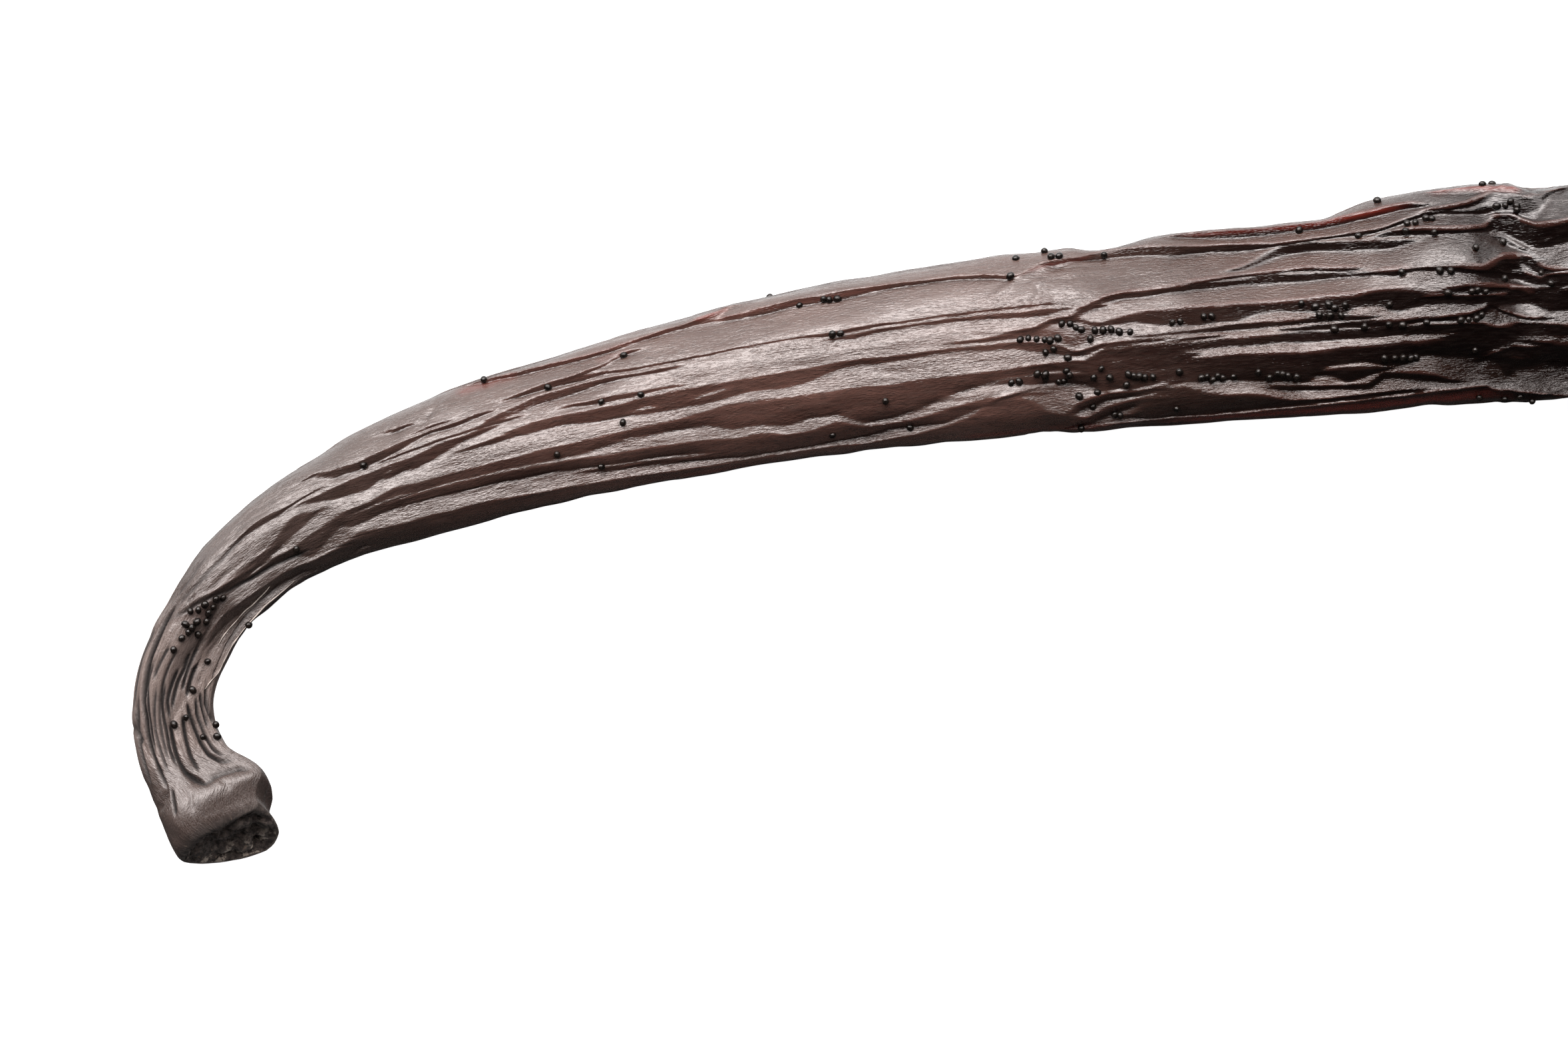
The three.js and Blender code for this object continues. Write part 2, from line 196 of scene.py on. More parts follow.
    "l1b": [(605, -22, -26), (620, -22, -38), (660, -22, -36), (700, -25, -38), (740, -29, -43),
            (780, -32, -47), (820, -36, -50), (860, -40, -53), (900, -44, -57), (940, -47, -59),
            (980, -50, -64), (1020, -56, -70), (1060, -58, -74), (1100, -61, -76), (1140, -65, -81),
            (1180, -69, -89), (1220, -76, -104), (1260, -75, -105), (1300, -84, -107), (1340, -85, -107),
            (1380, -78, -107), (1420, -92, -107), (1460, -94, -101), (1500, -92, -102), (1540, -84, -103),
            (1580, -78, -91), (1620, -73, -80), (1660, -72, -76), (1700, -74, -76)],
    "l1c": [(985, -71, -72), (1020, -74, -79), (1060, -78, -83), (1100, -81, -87), (1140, -87, -92),
            (1180, -91, -97), (1215, -96, -102)],
    "l2": [(344, -18, -29), (373, -23, -35), (404, -31, -45), (435, -38, -47), (460, -42, -51),
           (489, -43, -57), (515, -48, -60), (540, -55, -70), (580, -57, -75), (620, -49, -69),
           (660, -57, -85), (700, -64, -91), (740, -66, -95), (780, -71, -98), (820, -73, -100),
           (860, -78, -101), (900, -83, -103), (940, -86, -105), (980, -91, -106), (1020, -94, -109),
           (1060, -97, -111), (1100, -101, -112), (1140, -104, -115), (1180, -108, -118),
           (1220, -110, -119), (1260, -111, -120), (1300, -113, -121), (1340, -113, -123),
           (1380, -115, -125), (1420, -118, -124), (1460, -116, -127), (1500, -115, -129),
           (1540, -109, -130), (1580, -100, -132), (1606, -86, -133), (1633, -78, -133),
           (1659, -77, -133), (1684, -88, -132), (1700, -104, -131), (1730, -112, -128)],
    "l2b": [(605, -76, -78), (620, -74, -80), (640, -76, -82)],
    "d1": [(1700, -117, -124), (1720, -114, -121), (1735, -105, -113), (1750, -94, -106),
           (1770, -88, -100), (1790, -84, -94), (1850, -84, -92), (1880, -84, -86)],
    "d2": [(1740, -125, -130), (1760, -121, -128), (1790, -106, -116), (1830, -98, -106), (1850, -96, -109)],
    "d3": [(1830, -118, -124), (1850, -100, -127), (1880, -87, -127), (1910, -87, -128), (1940, -98, -129),
           (1970, -105, -129), (2000, -108, -130), (2030, -113, -131), (2060, -125, -132), (2090, -128, -133),
           (2120, -129, -134), (2150, -130, -134), (2180, -131, -135), (2220, -132, -135), (2260, -134, -136)],
    "d5": [(2040, -101, -104), (2060, -103, -109), (2090, -108, -112), (2120, -111, -114),
           (2150, -113, -119), (2180, -116, -123), (2205, -102, -109), (2230, -105, -113),
           (2244, -107, -116), (2256, -109, -118), (2270, -112, -121), (2281, -115, -123),
           (2295, -120, -126), (2320, -128, -130)],
    "d6": [(1790, -132, -138), (1850, -132, -138), (1905, -133, -142), (1924, -133, -143), (2000, -135, -146),
           (2110, -138, -151), (2217, -140, -157), (2300, -140, -160), (2332, -139, -161), (2362, -139, -161),
           (2374, -145, -161), (2410, -151, -163), (2449, -157, -164)],
    "x7": [(2381, -17, -19), (2398, -29, -32), (2430, -39, -45), (2453, -42, -47)],
    "x5": [(2351, -99, -101), (2362, -95, -99), (2373, -92, -99), (2385, -89, -105), (2397, -86, -128),
           (2410, -83, -118), (2430, -84, -113), (2439, -85, -111), (2449, -86, -110)],
    "x6": [(2428, -75, -78), (2451, -77, -83), (2461, -78, -111), (2491, -81, -116), (2523, -83, -118)],
    "_pk": [(300, 20, -6), (312, 22, -8), (325, 26, -10), (350, 24, -8), (366, 16, -6)],
    "n1": [(317, 42, 41), (332, 35, 19), (342, 30, 10), (353, 25, 0), (374, 15, -3), (391, 9, -6),
           (406, 4, -8), (422, 4, -10), (435, 3, -11), (453, 2, -12), (460, 1, -12), (484, 1, -12),
           (507, 5, -8), (528, 13, -5), (543, 19, -3), (559, 16, 0), (574, 9, 5)],
    "n1c": [(280, 1, -4), (300, 0, -12), (330, -10, -12)],
    "n2": [(480, 42, 37), (500, 43, 33), (540, 38, 33), (580, 37, 35), (600, 37, 36)],
}

# raised (+) and sunk (-) lines of the skin: height, half width, then (s, across), all PX
LINES = [
    # neck and hook: lengthwise grooves, and ridges between them
    (-8.7, 2.2, [(345, 47), (313, 49), (261, 47), (209, 45), (187, 42), (157, 44), (123, 42), (87, 39)]),
    (-6.8, 2.1, [(262, 41), (231, 42), (209, 39), (180, 37), (144, 40)]),
    (-5.3, 2.2, [(260, 1), (236, 5), (210, 9), (186, 6)]),
    (-8.0, 2.5, [(276, -23), (258, -22), (236, -21), (222, -20)]),
    (-2.6, 4.2, [(232, -21), (214, -15), (196, -4), (180, 6), (168, 8)]),
    (-9.0, 2.5, [(180, 7), (164, 8), (152, 9), (124, 10), (102, 6), (75, -16)]),
    (-6.8, 2.1, [(188, -14), (152, -11), (123, -10), (97, -14)]),
    (-7.9, 2.2, [(211, -21), (168, -28), (136, -32), (116, -37), (101, -49), (92, -70)]),
    (-5.3, 2.0, [(229, -40), (200, -44), (163, -50)]),
    (-5.3, 2.0, [(240, -47), (200, -52), (167, -58)]),
    (-5.3, 2.0, [(183, 63), (167, 56), (160, 54)]),
    (-5.7, 2.1, [(215, 54), (186, 57), (146, 60), (102, 62)]),
    (-4.5, 2.0, [(300, 58), (250, 60), (200, 62)]),
    (-6.1, 2.1, [(86, 34), (67, 38), (52, 41)]),
    (-7.6, 3.0, [(87, 39), (78, 52), (68, 66)]),
    (-5.7, 2.1, [(304, -13), (266, -13), (228, -12)]),
    (-3.7, 2.1, [(285, 26), (262, 30), (238, 34)]),
    (-3.1, 2.0, [(290, 12), (240, 18), (170, 22), (120, 24)]),
    (-3.1, 2.0, [(230, 26), (170, 31), (110, 30)]),
    (-5.9, 2.3, [(290, -6), (262, -8), (240, -3), (215, 0), (198, 3)]),
    (-5.1, 2.0, [(238, 14), (205, 17), (170, 14), (140, 17), (112, 14)]),
    (-4.6, 1.8, [(222, -34), (190, -36), (150, -41), (122, -46), (104, -58)]),
    (2.4, 3.4, [(190, -18), (160, -20), (130, -21)]),
    (2.0, 3.0, [(160, 1), (130, 1), (105, -3)]),
    (-5.7, 2.2, [(100, 8), (86, -4), (74, -16), (79, -41), (75, -69), (64, -86)]),
    (7.5, 25.0, [(34, 66), (42, 36), (50, 4), (53, -22), (51, -59), (44, -84), (40, -100)]),
    (-2.6, 7.0, [(92, 20), (80, -12), (80, -41), (76, -66), (66, -84)]),
    (-2.2, 4.0, [(70, 8), (58, 14), (44, 17)]),
    (-1.8, 4.0, [(72, -36), (60, -42), (46, -46)]),
    # the bend: folds in the skin
    (-3.0, 2.6, [(551, -39), (497, -30), (442, -18), (399, -4), (363, 18), (335, 33), (314, 47)]),
    (2.6, 3.0, [(520, -22), (470, -10), (430, -2), (395, 8), (363, 26), (335, 40)]),
    (-2.4, 2.4, [(451, 90), (423, 84), (386, 72), (344, 64)]),
    (-2.2, 2.4, [(472, 38), (432, 34), (376, 38), (340, 46)]),
    (2.6, 2.2, [(495, -63), (439, -60), (375, -56), (329, -55), (287, -58), (247, -50)]),
    (-2.2, 2.2, [(470, -55), (420, -52), (360, -50), (320, -50)]),
    (-1.8, 2.2, [(420, 56), (380, 52), (350, 53)]),
    (-2.6, 2.2, [(768, 64), (788, 79), (810, 95)]),
    (-2.2, 2.0, [(757, 60), (780, 75), (797, 84)]),
    # first old bend: ridges and facets
    (3.4, 4.2, [(1628, 69), (1650, 84), (1676, 100), (1702, 110), (1716, 113), (1732, 110)]),
    (2.0, 3.0, [(1711, 98), (1711, 83), (1717, 64), (1722, 56)]),
    (-3.0, 5.0, [(1690, 62), (1706, 72), (1704, 90)]),
    (2.2, 2.6, [(1618, 19), (1668, 24), (1694, 26), (1712, 33), (1732, 37), (1750, 37), (1761, 46), (1777, 53), (1810, 62), (1870, 66)]),
    (2.2, 2.4, [(1654, 8), (1679, 5), (1699, 2), (1721, -4), (1735, -9), (1749, -18), (1765, -15), (1791, -9), (1841, -8), (1891, -9)]),
    (2.2, 2.4, [(1637, -32), (1695, -31), (1746, -30), (1763, -33), (1774, -27), (1790, -19), (1805, -15), (1865, -17), (1966, -14)]),
    (2.6, 3.0, [(1606, -82), (1633, -73), (1659, -68), (1684, -65), (1722, -64)]),
    (2.4, 2.6, [(1724, -115), (1747, -95), (1767, -90), (1796, -84), (1833, -86), (1859, -81), (1897, -77), (1959, -79)]),
    (2.4, 2.6, [(1690, -132), (1728, -126), (1760, -116), (1781, -106), (1797, -95)]),
    # second old bend: crests that jog where it folded
    (2.6, 2.8, [(2268, 132), (2333, 135), (2357, 138), (2382, 147), (2402, 155), (2415, 161), (2426, 153), (2440, 145), (2452, 143), (2467, 149)]),
    (2.4, 2.6, [(2258, 109), (2325, 103), (2378, 101), (2389, 115), (2404, 116), (2421, 114), (2435, 105), (2451, 97), (2466, 99), (2502, 104)]),
    (1.3, 1.8, [(2398, 106), (2387, 84), (2380, 70), (2377, 53), (2379, 41)]),
    (2.6, 2.8, [(2349, 46), (2374, 41), (2386, 46), (2404, 55), (2422, 58), (2436, 53), (2448, 46), (2455, 42)]),
    (2.2, 2.4, [(2331, 40), (2363, 36), (2381, 35), (2394, 42), (2411, 42), (2425, 37), (2435, 27), (2454, 19), (2472, 23), (2498, 25)]),
    (1.8, 2.2, [(2324, 36), (2347, 24), (2372, 16), (2397, 14), (2419, 10)]),
    (2.4, 2.6, [(2444, 65), (2465, 70), (2482, 78), (2501, 80)]),
    (2.4, 2.4, [(2257, -1), (2278, 4), (2308, 3), (2345, 0), (2375, -2), (2405, -1), (2418, 5), (2438, 5), (2466, 2), (2497, 2)]),
    (2.2, 2.4, [(2292, -28), (2348, -26), (2369, -20), (2382, -15)]),
    (2.0, 2.4, [(2379, -16), (2398, -29), (2430, -40), (2453, -43)]),
    (2.4, 2.4, [(2265, -36), (2316, -40), (2367, -42), (2376, -47), (2391, -51), (2417, -46), (2442, -49), (2494, -53)]),
    (2.2, 2.4, [(2351, -97), (2373, -90), (2410, -81), (2449, -84)]),
    (2.0, 2.6, [(2397, -130), (2412, -119), (2430, -115), (2462, -113), (2491, -118), (2520, -120)]),
    (2.4, 2.4, [(1900, -131), (2000, -133), (2110, -136), (2217, -138), (2300, -138), (2366, -137), (2374, -143), (2410, -149), (2449, -156)]),
]

# where the skin is thin: a red glow painted for the light shining through it; strength, half width, then (s, across),
# PX
RED_GLOW = [
    (0.45, 6, [(830, 97), (880, 95), (930, 98)]),
    (0.20, 3, [(925, 97), (1020, 96), (1100, 100), (1180, 107)]),
    (0.60, 4, [(1196, 111), (1225, 115), (1250, 121)]),
    (0.14, 4, [(1040, 85), (1100, 88)]),
    (0.18, 3, [(1205, 104), (1300, 108), (1400, 109), (1500, 112)]),
    (0.45, 3, [(1000, -110), (1100, -113), (1200, -118), (1300, -121)]),
    (0.30, 3, [(1690, 106), (1720, 115), (1790, 123)]),
    (0.80, 3.5, [(1915, 141), (1973, 140), (2059, 136), (2127, 133), (2194, 137), (2276, 144)]),
    (0.60, 5, [(2300, 160), (2360, 160), (2440, 150)]),
    (0.8, 6, [(1850, -138), (2000, -142), (2100, -147), (2200, -151), (2300, -153), (2366, -152), (2400, -158)]),
    (0.45, 4, [(1560, -128), (1640, -130), (1740, -132), (1800, -134)]),
]

# loose seeds on the skin: (s, across), PX
SEEDS = [
    (142, -59), (146, -37), (162, -58), (175, 1), (184, -18), (231, -27), (282, 18), (289, -37),
    (302, 15), (314, 10), (319, -4), (325, 20), (326, 9), (338, 8), (342, 24), (343, -4), (350, 15),
    (356, 0), (365, 11), (369, -1), (376, -57), (380, 3), (389, -4), (522, -25), (670, 42), (876, 102),
    (952, -35), (965, 66), (1012, -71), (1034, 25), (1059, -14), (1082, 86), (1096, 22), (1354, 104),
    (1370, -97), (1389, 108), (1392, 54), (1397, 106), (1404, 53), (1410, 105), (1457, -58),
    (1488, -103), (1648, -54), (1662, -54), (1667, 106), (1669, 9), (1675, 131), (1682, 10),
    (1688, -45), (1693, 7), (1701, -47), (1702, -54), (1706, 4), (1708, -13), (1716, 3), (1718, 134),
    (1720, -60), (1720, -10), (1727, 5), (1729, 126), (1730, -60), (1732, -44), (1736, 26),
    (1739, -51), (1740, -25), (1741, 126), (1748, -134), (1748, 25), (1749, -84), (1755, 19),
    (1763, 14), (1767, -102), (1774, -59), (1774, 0), (1779, -82), (1781, 11), (1786, -46),
    (1795, 11), (1798, -61), (1800, -117), (1808, 10), (1808, 122), (1809, -119), (1818, 6),
    (1821, -74), (1826, -59), (1834, -63), (1834, 3), (1842, -63), (1851, -67), (1861, -66),
    (1892, -117), (1899, 12), (1905, -63), (1911, 12), (1933, -75), (1943, -74), (1949, 16),
    (1951, -78), (1960, -75), (1961, 15), (1968, -78), (1984, -79), (2020, -76), (2033, -86),
    (2047, -82), (2057, -83), (2065, -87), (2074, -90), (2097, 17), (2108, 128), (2118, 10),
    (2120, -3), (2137, 10), (2138, -5), (2141, -27), (2147, 4), (2153, -8), (2161, 6), (2185, -29),
    (2193, 107), (2208, -81), (2222, -31), (2226, -82), (2228, -2), (2230, 154), (2237, -83),
    (2244, -34), (2248, -84), (2251, 45), (2257, -85), (2265, 106), (2266, 115), (2278, -35),
    (2279, 115), (2295, 119), (2303, 119), (2307, 42), (2307, 99), (2318, 5), (2326, 40),
    (2332, -37), (2344, -37), (2349, -155), (2351, -84), (2351, 5), (2355, -37), (2360, 6), (2362, 68),
    (2364, -32), (2372, 3), (2382, 163), (2391, -160), (2395, 128), (2395, 163), (2400, 19),
    (2401, 73), (2408, 128), (2413, -160), (2416, 134), (2425, 127), (2428, 121), (2432, -164),
    (2460, 24), (2473, 8),
]

# thin skin ridges laid as pale strands: the light shining through them is painted pale; (s, across), PX
LIT_RIDGES = [
    [(454, -46), (408, -46), (363, -40), (337, -39), (322, -40)],
    [(495, -63), (439, -60), (375, -56), (329, -54), (287, -58), (250, -49), (231, -46)],
]


# ---- curves -------------------------------------------------------------------
def along(table, x):
    t = np.asarray(table, float)
    xs, ys = t[:, 0], t[:, 1]
    h = np.diff(xs)
    d = np.diff(ys) / h
    m = np.empty(len(xs))
    m[0], m[-1] = d[0], d[-1]
    m[1:-1] = (h[1:] * d[:-1] + h[:-1] * d[1:]) / (h[1:] + h[:-1])
    x = np.clip(np.asarray(x, float), xs[0], xs[-1])
    i = np.clip(np.searchsorted(xs, x, side="right") - 1, 0, len(xs) - 2)
    u = (x - xs[i]) / h[i]
    return ((2 * u**3 - 3 * u**2 + 1) * ys[i] + (u**3 - 2 * u**2 + u) * h[i] * m[i]
            + (-2 * u**3 + 3 * u**2) * ys[i + 1] + (u**3 - u**2) * h[i] * m[i + 1])


def ease(t):
    t = np.clip(t, 0.0, 1.0)
    return t * t * (3 - 2 * t)


_n = int(round(LENGTH / STEP))
_a = np.radians(along(HEADING, (np.arange(_n) + 0.5) * STEP))
PATH = np.vstack([[0.0, 0.0], np.cumsum(np.c_[np.cos(_a), np.sin(_a)] * STEP, axis=0)])
PATH += np.array(START) - np.array(ORIGIN)


def frame_at(s):
    """Centre, tangent and side (+Y) of the centreline at s millimetres; straight past the ends."""
    s = np.asarray(s, float)
    c = np.clip(s, 0, LENGTH)
    f = np.clip(c / STEP, 0, len(PATH) - 1.001)
    i = np.floor(f).astype(int)
    t = (f - i)[..., None]
    p = PATH[i] * (1 - t) + PATH[i + 1] * t
    h = np.radians(along(HEADING, c))
    tan = np.stack([np.cos(h), np.sin(h)], -1)
    side = np.stack([-np.sin(h), np.cos(h)], -1)
    return p + tan * (s - c)[..., None], tan, side


def _hash(ix, iy, seed):
    h = (ix.astype(np.int64) * 374761393 + iy.astype(np.int64) * 668265263 + seed * 982451653) & 0xFFFFFFFF
    h = ((h ^ (h >> 13)) * 1274126177) & 0xFFFFFFFF
    return ((h ^ (h >> 16)) & 0xFFFFFF).astype(float) / float(0xFFFFFF) * 2 - 1


def noise(x, y=0.0, seed=0):
    """Smooth noise in -1..1."""
    x, y = np.broadcast_arrays(np.asarray(x, float), np.asarray(y, float))
    ix, iy = np.floor(x), np.floor(y)
    fx, fy = ease(x - ix), ease(y - iy)
    ix, iy = ix.astype(np.int64), iy.astype(np.int64)
    a = _hash(ix, iy, seed) * (1 - fx) + _hash(ix + 1, iy, seed) * fx
    b = _hash(ix, iy + 1, seed) * (1 - fx) + _hash(ix + 1, iy + 1, seed) * fx
    return a * (1 - fy) + b * fy


def blur(a, sigma, axis):
    if sigma <= 0:
        return a
    r = max(1, int(math.ceil(3 * sigma)))
    k = np.exp(-0.5 * (np.arange(-r, r + 1) / sigma) ** 2)
    k /= k.sum()
    pad = [(0, 0)] * a.ndim
    pad[axis] = (r, r)
    p = np.pad(a, pad, mode="edge")
    out = np.zeros_like(a)
    n = a.shape[axis]
    for j, w in enumerate(k):
        out += w * np.take(p, np.arange(j, j + n), axis=axis)
    return out


# ---- the pleats past the stretch that shows -------------------------------------
def tip_scale(s):
    t = np.clip((s - (LENGTH - TIP_ROUND)) / TIP_ROUND, 0, 1)
    return np.sqrt(np.maximum(0.22**2, 1 - t * t))


def half_widths(s):
    """(+side, -side) half width in PX at s mm."""
    o = np.array(OUTLINE, float)
    sp = s / PX
    up = along(np.c_[o[:, 0], o[:, 1]], sp)
    down = along(np.c_[o[:, 0], o[:, 2]], sp)
    pinch = sum(0.022 * np.exp(-((s - c) / 1.5) ** 2) for c in CREASES[2:])
    w = along(WIDTH, s) / 2 / PX * (1 - pinch)
    w = w * (1 + 0.012 * noise(s / 6.0, 0.3, 71)) * tip_scale(s)
    w2 = along(WIDTH, s) / 2 / PX * (1 - pinch) * (1 + 0.012 * noise(s / 5.0, 0.7, 72)) * tip_scale(s)
    k = ease((sp - 2450) / 260)
    return up * (1 - k) + w * k, down * (1 - k) + w2 * k


LANES = [(154, 148), (103, 82), (81, 71), (48, 27), (23, 1), (-3, -33), (-56, -70), (-83, -118), (-143, -150)]


def hidden_pleats():
    rng = np.random.default_rng(11)
    out = {}
    ss = np.arange(2506, 6270, 30.0)
    up, down = half_widths(ss * PX)
    q_end = [0.90, 0.68, 0.46, 0.25, 0.05, -0.17, -0.40, -0.62, -0.82]
    for k, (hi, lo) in enumerate(LANES):
        grow = ease((ss - 2550) / 420)
        hi_q = q_end[k] + 0.040 * noise(ss / 620, k * 3.1, 31) + 0.020 * noise(ss / 190, k * 1.7, 32)
        for c in CREASES[2:]:
            d = (ss - c / PX) / 60
            hi_q = hi_q + 0.030 * math.sin(2.1 * k + c) * np.tanh(d) * np.exp(-(d / 4) ** 2)
        share = np.clip(0.46 + 0.42 * noise(ss / 480, k * 2.3 + 9, 33) + 0.14 * noise(ss / 120, k, 34), 0.06, 0.84)
        gate = ease((noise(ss / 900, k * 4.7, 35) + 0.75) / 0.35)
        q_lo = hi_q - 0.22 * share * gate
        w = lambda q: np.where(q > 0, q * up, q * down)
        h2, l2 = w(hi_q), w(q_lo)
        first = ease((ss - 2500) / 30)
        mid = (hi + lo) / 2
        h1, l1 = mid + (hi - mid) * first, mid + (lo - mid) * first
        hh, ll = h1 * (1 - grow) + h2 * grow, l1 * (1 - grow) + l2 * grow
        out[f"e{k}"] = list(zip(ss, hh, ll))
    for k in range(34):
        s0 = rng.uniform(2560, 5700)
        n = rng.uniform(260, 900)
        q = rng.uniform(-0.85, 0.88)
        dq = rng.uniform(-0.06, 0.06)
        wd = rng.uniform(3, 9)
        sx = np.arange(s0, min(s0 + n, 6200), 30.0)
        t = (sx - s0) / n
        u2, d2 = half_widths(sx * PX)
        qq = q + dq * t + 0.015 * noise(sx / 150, k, 36)
        a = np.where(qq > 0, qq * u2, qq * d2)
        wide = wd * np.sin(np.pi * np.clip(t, 0.02, 0.98)) ** 0.7
        out[f"f{k}"] = list(zip(sx, a + wide / 2, a - wide / 2))
    return out


ALL_PLEATS = dict(PLEATS)
ALL_PLEATS.update(hidden_pleats())

# ---- the fine grid of the skin's upper half --------------------------------------
ROW = 4.0                                            # PX between rows
rows = np.arange(0, LENGTH / PX + ROW * 0.5, ROW)
rows[-1] = LENGTH / PX
NR = len(rows)
NU = 361                                             # columns from -Y edge over the top to +Y edge
NB = 141                                             # columns from +Y edge under to -Y edge
s_mm = rows * PX
w_up, w_down = half_widths(s_mm)
half_h = (along(WIDTH, s_mm) / 2) * along(FLATNESS, s_mm) / PX * tip_scale(s_mm)
lift = NECK_LIFT * np.exp(-((s_mm - 8) / 4.2) ** 2) / PX
centre_z = half_h * SIT + lift
# the blossom end stays on the surface while it narrows
full_h = (along(WIDTH, s_mm) / 2) * along(FLATNESS, s_mm) / PX
centre_z = np.where(s_mm > LENGTH - TIP_ROUND, full_h * SIT * (0.55 + 0.45 * tip_scale(s_mm)), centre_z)


def arc(wa, wb, h, sign, count):
    """Half a section, resampled at even arc length: across and height about the centre."""
    n = 1201
    phi = np.linspace(0, np.pi, n)
    c, s = np.cos(phi), np.sin(phi)
    e = 2 / SECTION_POWER
    ca, sa = np.sign(c) * np.abs(c) ** e, np.abs(s) ** e
    out_a, out_z, out_l = (np.empty((len(wa), count)) for _ in range(3))
    for i in range(len(wa)):
        a = np.where(c > 0, wa[i] * ca, wb[i] * ca)
        z = sign * h[i] * sa
        d = np.concatenate([[0], np.cumsum(np.hypot(np.diff(a), np.diff(z)))])
        t = np.linspace(0, d[-1], count)
        out_a[i], out_z[i], out_l[i] = np.interp(t, d, a), np.interp(t, d, z), t
    return out_a, out_z, out_l


# from the -Y edge (a negative) to the +Y edge
top_a, top_z, top_l = arc(-w_down, -w_up, half_h, 1.0, NU)
bot_a, bot_z, bot_l = arc(w_up, w_down, half_h, -1.0, NB)


def outward(a, z):
    da, dz = np.gradient(a, axis=1), np.gradient(z, axis=1)
    n = np.hypot(da, dz) + 1e-9
    return -dz / n, da / n


top_na, top_nz = outward(top_a, top_z)
top_na[:, 0], top_nz[:, 0], top_na[:, -1], top_nz[:, -1] = -1, 0, 1, 0
bot_na, bot_nz = outward(bot_a, bot_z)
bot_na[:, 0], bot_nz[:, 0], bot_na[:, -1], bot_nz[:, -1] = 1, 0, -1, 0

C0, T0, N0 = frame_at(s_mm)


def stem_shift(a, z):
    """How far a point is moved along the pod by the slanted stem scar, PX."""
    k = 1 - ease(s_mm / 6.0)
    return k[:, None] * (-14 + 0.10 * a + (0.51 - 0.0030 * a) * z)


def apparent(a, z, s_shift):
    """Where the camera sees a point, as (s, across) in PX on the plane of the widest line."""
    px = C0[:, None, 0] + N0[:, None, 0] * a * PX
    py = C0[:, None, 1] + N0[:, None, 1] * a * PX
    k = ((z + centre_z[:, None]) * PX - LEVEL) / CAMERA_HIGH
    dx, dy = (px - CAMERA_AT[0]) * k, (py - CAMERA_AT[1]) * k
    da = dx * N0[:, None, 0] + dy * N0[:, None, 1]
    ds = dx * T0[:, None, 0] + dy * T0[:, None, 1]
    seen = ease((2560 - rows) / 60)[:, None]
    return rows[:, None] + s_shift + ds / PX * seen, a + da / PX * seen


TILT = np.degrees(np.arctan2(top_na, top_nz))
DA = np.maximum(np.diff(top_a, axis=1), 1e-6)
SLOPE = np.clip(np.gradient(top_z, axis=1) / np.maximum(np.gradient(top_a, axis=1), 1e-6), -8, 8)


def away_faces(s_eff, a_eff):
    """1 on the faces turned from the light and 0 on the others, and how steep those faces are, degrees."""
    m = np.zeros_like(a_eff)
    steep = np.full_like(a_eff, 20.0)
    lip = np.zeros_like(a_eff)
    lines = np.zeros_like(a_eff)
    for k, (name, table) in enumerate(ALL_PLEATS.items()):
        t = np.array(table, float)
        mid0, mid1 = (t[0, 1] + t[0, 2]) / 2, (t[-1, 1] + t[-1, 2]) / 2
        run0, run1 = 10 + 3.0 * (t[0, 1] - t[0, 2]), 10 + 3.0 * (t[-1, 1] - t[-1, 2])
        t = np.vstack([[t[0, 0] - run0, mid0, mid0], t, [t[-1, 0] + run1, mid1, mid1]])
        r = np.where((rows > t[0, 0] - 70) & (rows < t[-1, 0] + 70))[0]
        if len(r) == 0:
            continue
        r = slice(r[0], r[-1] + 1)
        se, ae = s_eff[r], a_eff[r]
        hi = np.interp(se, t[:, 0], t[:, 1]) + 0.8 * noise(se / 34, k * 1.37, 41) + 0.5 * noise(se / 13, k * 2.1, 43)
        lo = np.interp(se, t[:, 0], t[:, 2]) + 0.8 * noise(se / 31, k * 1.91, 42) + 0.5 * noise(se / 11, k * 2.7, 44)
        thick = ease((se - 1800) / 60) * (1 - ease((se - 2500) / 100)) * (se > t[1, 0]) * (se < t[-2, 0])
        hi, lo = hi + 0.4 * thick, lo - 0.9 * thick
        thin = np.clip(1.5 - (hi - lo) / 2, 0, None) * ((se > t[1, 0]) & (se < t[-2, 0]))
        hi, lo = hi + thin * 0.6, lo - thin * 0.6
        inside = np.clip(np.minimum(ae - lo, hi - ae) / 1.0 + 0.5, 0, 1)
        inside *= (se > t[0, 0]) & (se < t[-1, 0])
        if name[0] == "_":
            inside = 0.62 * inside                   # the floor of a pocket
        angle = 22 + 34 * np.exp(-np.maximum(hi - lo, 0) / 6.0)
        there = ((se > t[0, 0] - 4) & (se < t[-1, 0] + 4)) * np.clip((hi - lo) / 3.0, 0.0, 1.0)
        lip[r] = np.maximum(lip[r], there * np.clip(1 - (ae - hi) / 5.0, 0, 1) * (ae > hi - 0.5))
        lines[r] = lines[r] + there * (np.exp(-((ae - lo) / 2.2) ** 2) + np.exp(-((ae - hi) / 2.4) ** 2))
        steep[r] = np.where(inside > m[r], angle, steep[r])
        m[r] = np.maximum(m[r], inside)
    return m, steep, lip * (1 - m), lines


# how far the lit faces lean towards +Y, degrees at s, and how much that varies
LEAN = [(0, 9.0), (1150, 9.0), (1250, 10.5), (1600, 10.5), (1660, 5.6), (1790, 5.6), (1840, 13.0), (2060, 12.5),
        (2140, 8.0), (2260, 4.5), (2340, -4.0), (2385, -15.0), (2530, -13.0), (2680, 3.0), (3000, 9.0)]
LEAN_VARIES = [(0, 1.2), (2060, 1.4), (2150, 3.4), (2300, 5.0), (2400, 8.5), (2600, 6.0), (3000, 1.4)]


